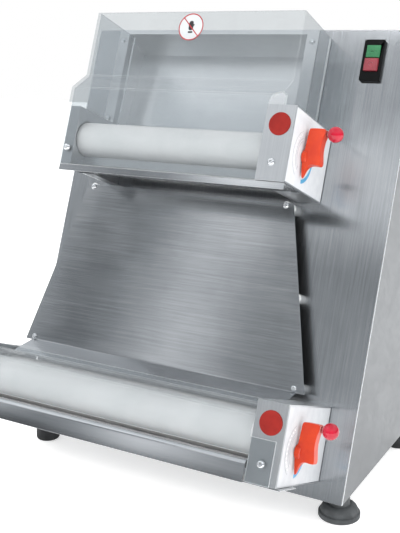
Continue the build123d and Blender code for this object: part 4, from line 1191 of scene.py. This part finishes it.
# ---- Guards, trays and shared pieces ---------------------------------------------------------
@dataclass
class Guards:
    """The clear guards, the trays, and the bolts and caps of both heads."""

    shop: Workshop
    sheet: float = 3.0
    sign_radius: float = 20.0
    socket: float = 2.3

    def build(self) -> None:
        """Guards with pale sawn edges and painted highlight lines on their folds, then the steel and the
        fittings.
        """
        shop, finish = self.shop, self.shop.finish
        for node in ("upper_guard", "lower_guard"):
            self.guard(node)
        for node in ("upper_tray", "lower_tray"):
            shop.dress(node, finish.tray, 0.4)
        shop.dress("scrapers", finish.fold, 0.15, "scraper_blades")
        shop.dress("back_bearings", finish.ivory, 0.5, "back_bearing_blocks")
        self.caps()
        self.bolts()
        self.sign()

    def guard(self, node: str) -> None:
        """A clear guard whose narrow faces take a pale edge material: real paleness on the sawn edges, a
        painted highlight on the rounded folds.
        """
        shop = self.shop
        mesh = eased(shop.copy(node), 0.8, 2)
        mesh.materials.clear()
        mesh.materials.append(shop.finish.guard.material())
        mesh.materials.append(shop.finish.sawn_edge_and_highlight.material())
        for face in mesh.polygons:
            corners = [shop.panel.local(mesh.vertices[i].co) for i in face.vertices]
            spans = sorted(max(c[k] for c in corners) - min(c[k] for c in corners) for k in range(3))
            longest = max((a - b).length for a in corners for b in corners)
            # The narrow faces of the folds' rounding are picked too, so the pale material paints highlight
            # lines along them.
            if face.area / MM**2 < longest * (self.sheet * 1.2) and spans[2] > 1:
                face.material_index = 1
        shop.add(f"{node}_sheet", mesh, None, node)

    def caps(self) -> None:
        """The round red plugs: a low dome with a rolled rim."""
        shop = self.shop
        shapes = []
        for part in shop.panel.extents("face_caps"):
            radius, deep = part.size.x / 2, part.size.z
            flange = 1.2
            place = shop.panel.point(part.middle.x, part.middle.y, part.high.z - flange)
            profile = [(0, flange - deep), (radius - 2.4, flange - deep), (radius - 2.1, flange - deep + 0.4)]
            profile += [(radius - 2.1, 0), (radius, 0), (radius, 0.5), (radius - 0.35, 0.95)]
            profile += [(radius - 1.0, 1.15)]
            profile += [(radius - 1.8, 1.0), (radius - 2.4, 0.8), (radius * 0.5, 1.05), (0, 1.18)]
            shapes.append(revolved(profile, 72, shop.panel.matrix(place, Facing.OUT), "cap"))
        shop.add("face_cap_plugs", joined("face_cap_plugs", shapes), shop.finish.cap, "face_caps")

    def bolts(self) -> None:
        """Four button-head bolts with hexagon sockets."""
        shop = self.shop
        heads = shop.panel.extents("front_bolts")
        radius = heads[0].size.x / 2
        height = 0.65 * radius
        shank = heads[0].size.z - height
        profile = [(0, -shank), (2.3, -shank), (2.5, -shank + 0.4), (2.5, 0)]
        profile += [(radius * 0.97, 0), (radius, 0.35)]
        for i in range(1, 7):
            share = i / 6
            rise = 0.35 + (height - 0.35) * math.sin(share * math.pi / 2)
            profile.append((radius + (self.socket + 0.7 - radius) * share, rise))
        profile += [(self.socket, height - 0.05), (self.socket, height - 1.9), (0, height - 2.3)]
        rows = len(profile)

        def reach(row: int, ring: float, angle: float) -> float:
            """The socket is a hexagon; every other ring is round."""
            if row < rows - 3:
                return ring
            return ring * math.cos(math.pi / 6) / math.cos((angle % (math.pi / 3)) - math.pi / 6)

        template = revolved(profile, 36, Matrix.Scale(MM, 4), "bolt", reach)
        places = [shop.panel.point(e.middle.x, e.middle.y, e.high.z - height) for e in heads]
        mesh = shop.place_copies("front_bolt_heads", template, places, Facing.OUT, shop.finish.polished, 60.0)
        shop.add("front_bolt_heads", mesh, None, "front_bolts")

    def sign(self) -> None:
        """A plain keep-out sign on the hood: a red ring with a bar over a dark mitten shape."""
        shop = self.shop
        hood = shop.panel.extent("upper_guard")
        radius = self.sign_radius
        front = self.hood_face()
        place = shop.panel.point(hood.low.x + hood.size.x * 0.49, hood.high.y - radius - 3, front)
        matrix = shop.panel.matrix(place, Facing.OUT)
        disc = slabbed(arc_points((0, 0), radius - 0.2, 0, 350, 47), 0, 0.08, matrix, "disc")
        shop.add("sign_disc", disc, shop.finish.sawn_edge_and_highlight, "upper_guard", False)
        inner = radius - 1.5
        ring = revolved([(inner, 0), (radius, 0), (radius, 0.22), (inner, 0.22)], 72, matrix, "ring")
        bar = slabbed(
            [(-0.75, -radius + 1), (0.75, -radius + 1), (0.75, radius - 1), (-0.75, radius - 1)], 0.14, 0.22,
            matrix @ Matrix.Rotation(math.radians(45), 4, "Z"), "bar",
        )
        shop.add("sign_ring", joined("sign_ring", [ring, bar]), shop.finish.print_red, "upper_guard", False)
        mitten = rounded_curve(
            [(-3.5, -5), (3.5, -5), (3.8, 1), (5.8, 3), (4.8, 4.6), (3.4, 3.6), (3.2, 9), (-3.4, 9), (-4, 2)]
        )
        cuff = [(-3.6, -9), (3.6, -9), (3.6, -6.4), (-3.6, -6.4)]
        shapes = [slabbed(shape, 0.08, 0.14, matrix, "mark") for shape in (mitten, cuff)]
        shop.add("sign_mitten", joined("sign_mitten", shapes), shop.finish.print_dark, "upper_guard", False)

    def hood_face(self) -> float:
        """How far out of the panel the upper hood's top strip lies, in millimetres."""
        shop = self.shop
        mesh = self.shop.frame["nodes"]["upper_guard"].data
        local = [shop.panel.local(v.co) for v in mesh.vertices]
        top = max(p.y for p in local)
        return max(p.z for p in local if p.y > top - 1.0)


# ---- Drive -----------------------------------------------------------------------------------
@dataclass
class Drive:
    """The motor, gearbox, shaft and pulleys inside the casing."""

    shop: Workshop

    def build(self) -> None:
        """Dress the cast pieces and paint the turned ones."""
        shop, finish = self.shop, self.shop.finish
        for node in ("gearbox", "motor"):
            shop.dress(node, finish.paint, 1.5, f"{node}_casting")
        shop.dress("motor_mount", finish.machined, 1.0, "motor_mount_block")
        shop.dress("shaft_bearing", finish.ivory, 0.6, "shaft_bearing_block")
        shop.paint(finish.machined, "drive_shaft", "drive_pulleys")


# ---- Studio ----------------------------------------------------------------------------------
@dataclass
class Studio:
    """Floor, lights and camera.

    What metal mirrors is bands by elevation in degrees times column by degrees left of the front.
    """

    camera_place: Vector = field(default_factory=lambda: Vector((0.6457, -1.1493, 0.6461)))
    yaw: float = 29.6
    pitch: float = -14.4
    lens: float = 61.4
    sensor: float = 36.0
    key_power: float = 10.0
    fill_power: float = 4.0
    spark_power: float = 1.6
    mirror_level: float = 2.8
    fill_level: float = 1.38
    bands: tuple = (
        (0, "454749"), (10.4, "454749"), (11.3, "b3b5b7"), (14.4, "d9dadb"), (17.6, "b8babc"), (20, "a0a2a4"),
        (24, "a1a3a5"), (27, "8c8e90"), (28.6, "f4f5f6"), (31, "ffffff"), (33.4, "f9fafb"), (35, "b8babc"),
        (38, "bcbec0"), (41, "e7e8e9"), (45, "ffffff"), (52, "e1e2e3"), (90, "bcbec0"),
    )
    column: tuple = (
        (-90, "bcbec0"), (0, "adafb1"), (18, "aaacae"), (21, "a0a2a4"), (25.5, "8c8e90"), (27.5, "a8aaac"),
        (29, "cdced0"), (31.4, "ffffff"), (33, "c9cbcd"), (35.5, "84878a"), (38.5, "5a5d60"),
        (39.6, "8c8f92"),
        (42, "e1e2e3"), (46, "cfd1d3"), (66, "c4c6c8"), (90, "bcbec0"),
    )

    def build(self) -> None:
        """Set the whole studio."""
        self.floor()
        self.world()
        self.lamps()
        self.camera()
        bpy.context.scene.view_settings.view_transform = "Standard"

    def floor(self) -> None:
        """A wide pale floor."""
        size = 6.0
        mesh = bpy.data.meshes.new("floor")
        square = [(-size, -size, 0), (size, -size, 0), (size, size, 0), (-size, size, 0)]
        mesh.from_pydata(square, [], [(0, 1, 2, 3)])
        mesh.materials.append(LitFloor("lit_floor", "f7f7f7", 0.9).material())
        to_object("floor", mesh)

    def world(self) -> None:
        """A white room to the eye, and soft bands of light and dark for the metal to mirror."""
        world = bpy.data.worlds.new("studio")
        world.use_nodes = True
        tree = world.node_tree
        tree.nodes.clear()
        where = add_node(tree, "ShaderNodeTexCoord").outputs["Generated"]
        split = add_node(tree, "ShaderNodeSeparateXYZ", Vector=where).outputs
        height = add_node(tree, "ShaderNodeMath", {"operation": "ARCSINE"}, _0=split["Z"]).outputs[0]
        raised = self.degrees(tree, height, 0.0, 90.0)
        bands = ramp(tree, raised, [(angle / 90, shade) for angle, shade in self.bands])
        back_x = add_node(tree, "ShaderNodeMath", TIMES, _0=split["X"], _1=-1.0).outputs[0]
        back_y = add_node(tree, "ShaderNodeMath", TIMES, _0=split["Y"], _1=-1.0).outputs[0]
        side = add_node(tree, "ShaderNodeMath", {"operation": "ARCTAN2"}, _0=back_x, _1=back_y).outputs[0]
        turned = self.degrees(tree, side, -90.0, 90.0)
        column = ramp(tree, turned, [((angle + 90) / 180, shade) for angle, shade in self.column])
        tints = {"data_type": "RGBA", "blend_type": "MULTIPLY"}
        lit = add_node(tree, "ShaderNodeMix", tints, _0=1.0, _6=bands, _7=column).outputs[2]
        mirrored = add_node(tree, "ShaderNodeBackground", Color=lit, Strength=self.mirror_level)
        even = add_node(tree, "ShaderNodeBackground", Color=(1, 1, 1, 1), Strength=self.fill_level)
        white = add_node(tree, "ShaderNodeBackground", Color=(1, 1, 1, 1), Strength=1.0)
        path = add_node(tree, "ShaderNodeLightPath").outputs
        room = add_node(
            tree, "ShaderNodeMixShader", _0=path["Is Glossy Ray"], _1=even.outputs[0], _2=mirrored.outputs[0]
        )
        seen = add_node(
            tree, "ShaderNodeMixShader", _0=path["Is Camera Ray"], _1=room.outputs[0], _2=white.outputs[0]
        )
        add_node(tree, "ShaderNodeOutputWorld", Surface=seen.outputs[0])
        bpy.context.scene.world = world

    def degrees(
        self, tree: Tree, angle: Socket, low: float, high: float
    ) -> Socket:
        """Map an angle in radians from low to high degrees onto 0 to 1."""
        ends = {"From_Min": math.radians(low), "From_Max": math.radians(high)}
        return add_node(tree, "ShaderNodeMapRange", Value=angle, **ends).outputs["Result"]

    def lamps(self) -> None:
        """A large soft box from the left, a weak one from the right, and a small one that metal mirrors."""
        self.lamp("key", Vector((-1.1, -2.0, 1.9)), 0.9, 0.9, self.key_power, False)
        self.lamp("fill", Vector((1.9, -0.6, 1.6)), 1.2, 1.2, self.fill_power, False)
        self.lamp("spark", Vector((-0.35, -1.5, 2.3)), 0.16, 0.16, self.spark_power, True)

    def lamp(
        self, name: str, place: Vector, width: float, height: float, power: float, mirrored: bool
    ) -> None:
        """A rectangular soft box that looks at the machine's middle.

        Args:
            name: the lamp's name.
            place: where it stands, in metres.
            width: of its face.
            height: of its face.
            power: in watts.
            mirrored: whether bright surfaces show its reflection.
        """
        light = bpy.data.lights.new(name, "AREA")
        light.shape = "RECTANGLE"
        light.size, light.size_y, light.energy = width, height, power
        thing = bpy.data.objects.new(name, light)
        thing.location = place
        thing.visible_glossy = mirrored
        thing.rotation_euler = (place - Vector((0, 0, 0.33))).to_track_quat("Z", "Y").to_euler()
        bpy.context.scene.collection.objects.link(thing)

    def camera(self) -> None:
        """The camera, at the viewing angle of a buyer standing at the machine's right front."""
        data = bpy.data.cameras.new("camera")
        data.sensor_width = self.sensor
        data.lens = self.lens
        camera = bpy.data.objects.new("camera", data)
        camera.location = self.camera_place
        camera.rotation_euler = (math.radians(90 + self.pitch), 0, math.radians(self.yaw))
        bpy.context.scene.collection.objects.link(camera)
        bpy.context.scene.camera = camera


def corners(bounds: Any) -> list[list[float]]:
    """A box's two corners as plain lists."""
    return [[round(float(v), 6) for v in corner] for corner in bounds]


def main() -> None:
    """Build every sub-assembly in order."""
    logging.basicConfig(level=logging.INFO, format="%(name)s: %(message)s")
    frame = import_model()
    shop = Workshop(frame)
    finish = shop.finish
    heads = [RollerHead(shop, "upper", finish.plate_white), RollerHead(shop, "lower", finish.plate_grey)]
    sheets = (Casing(shop), FrontSheets(shop), SwitchStation(shop))
    for part in (*sheets, *heads, Guards(shop), Drive(shop), Studio()):
        LOG.info("building %s", type(part).__name__)
        part.build()


if __name__ == "__main__":
    main()
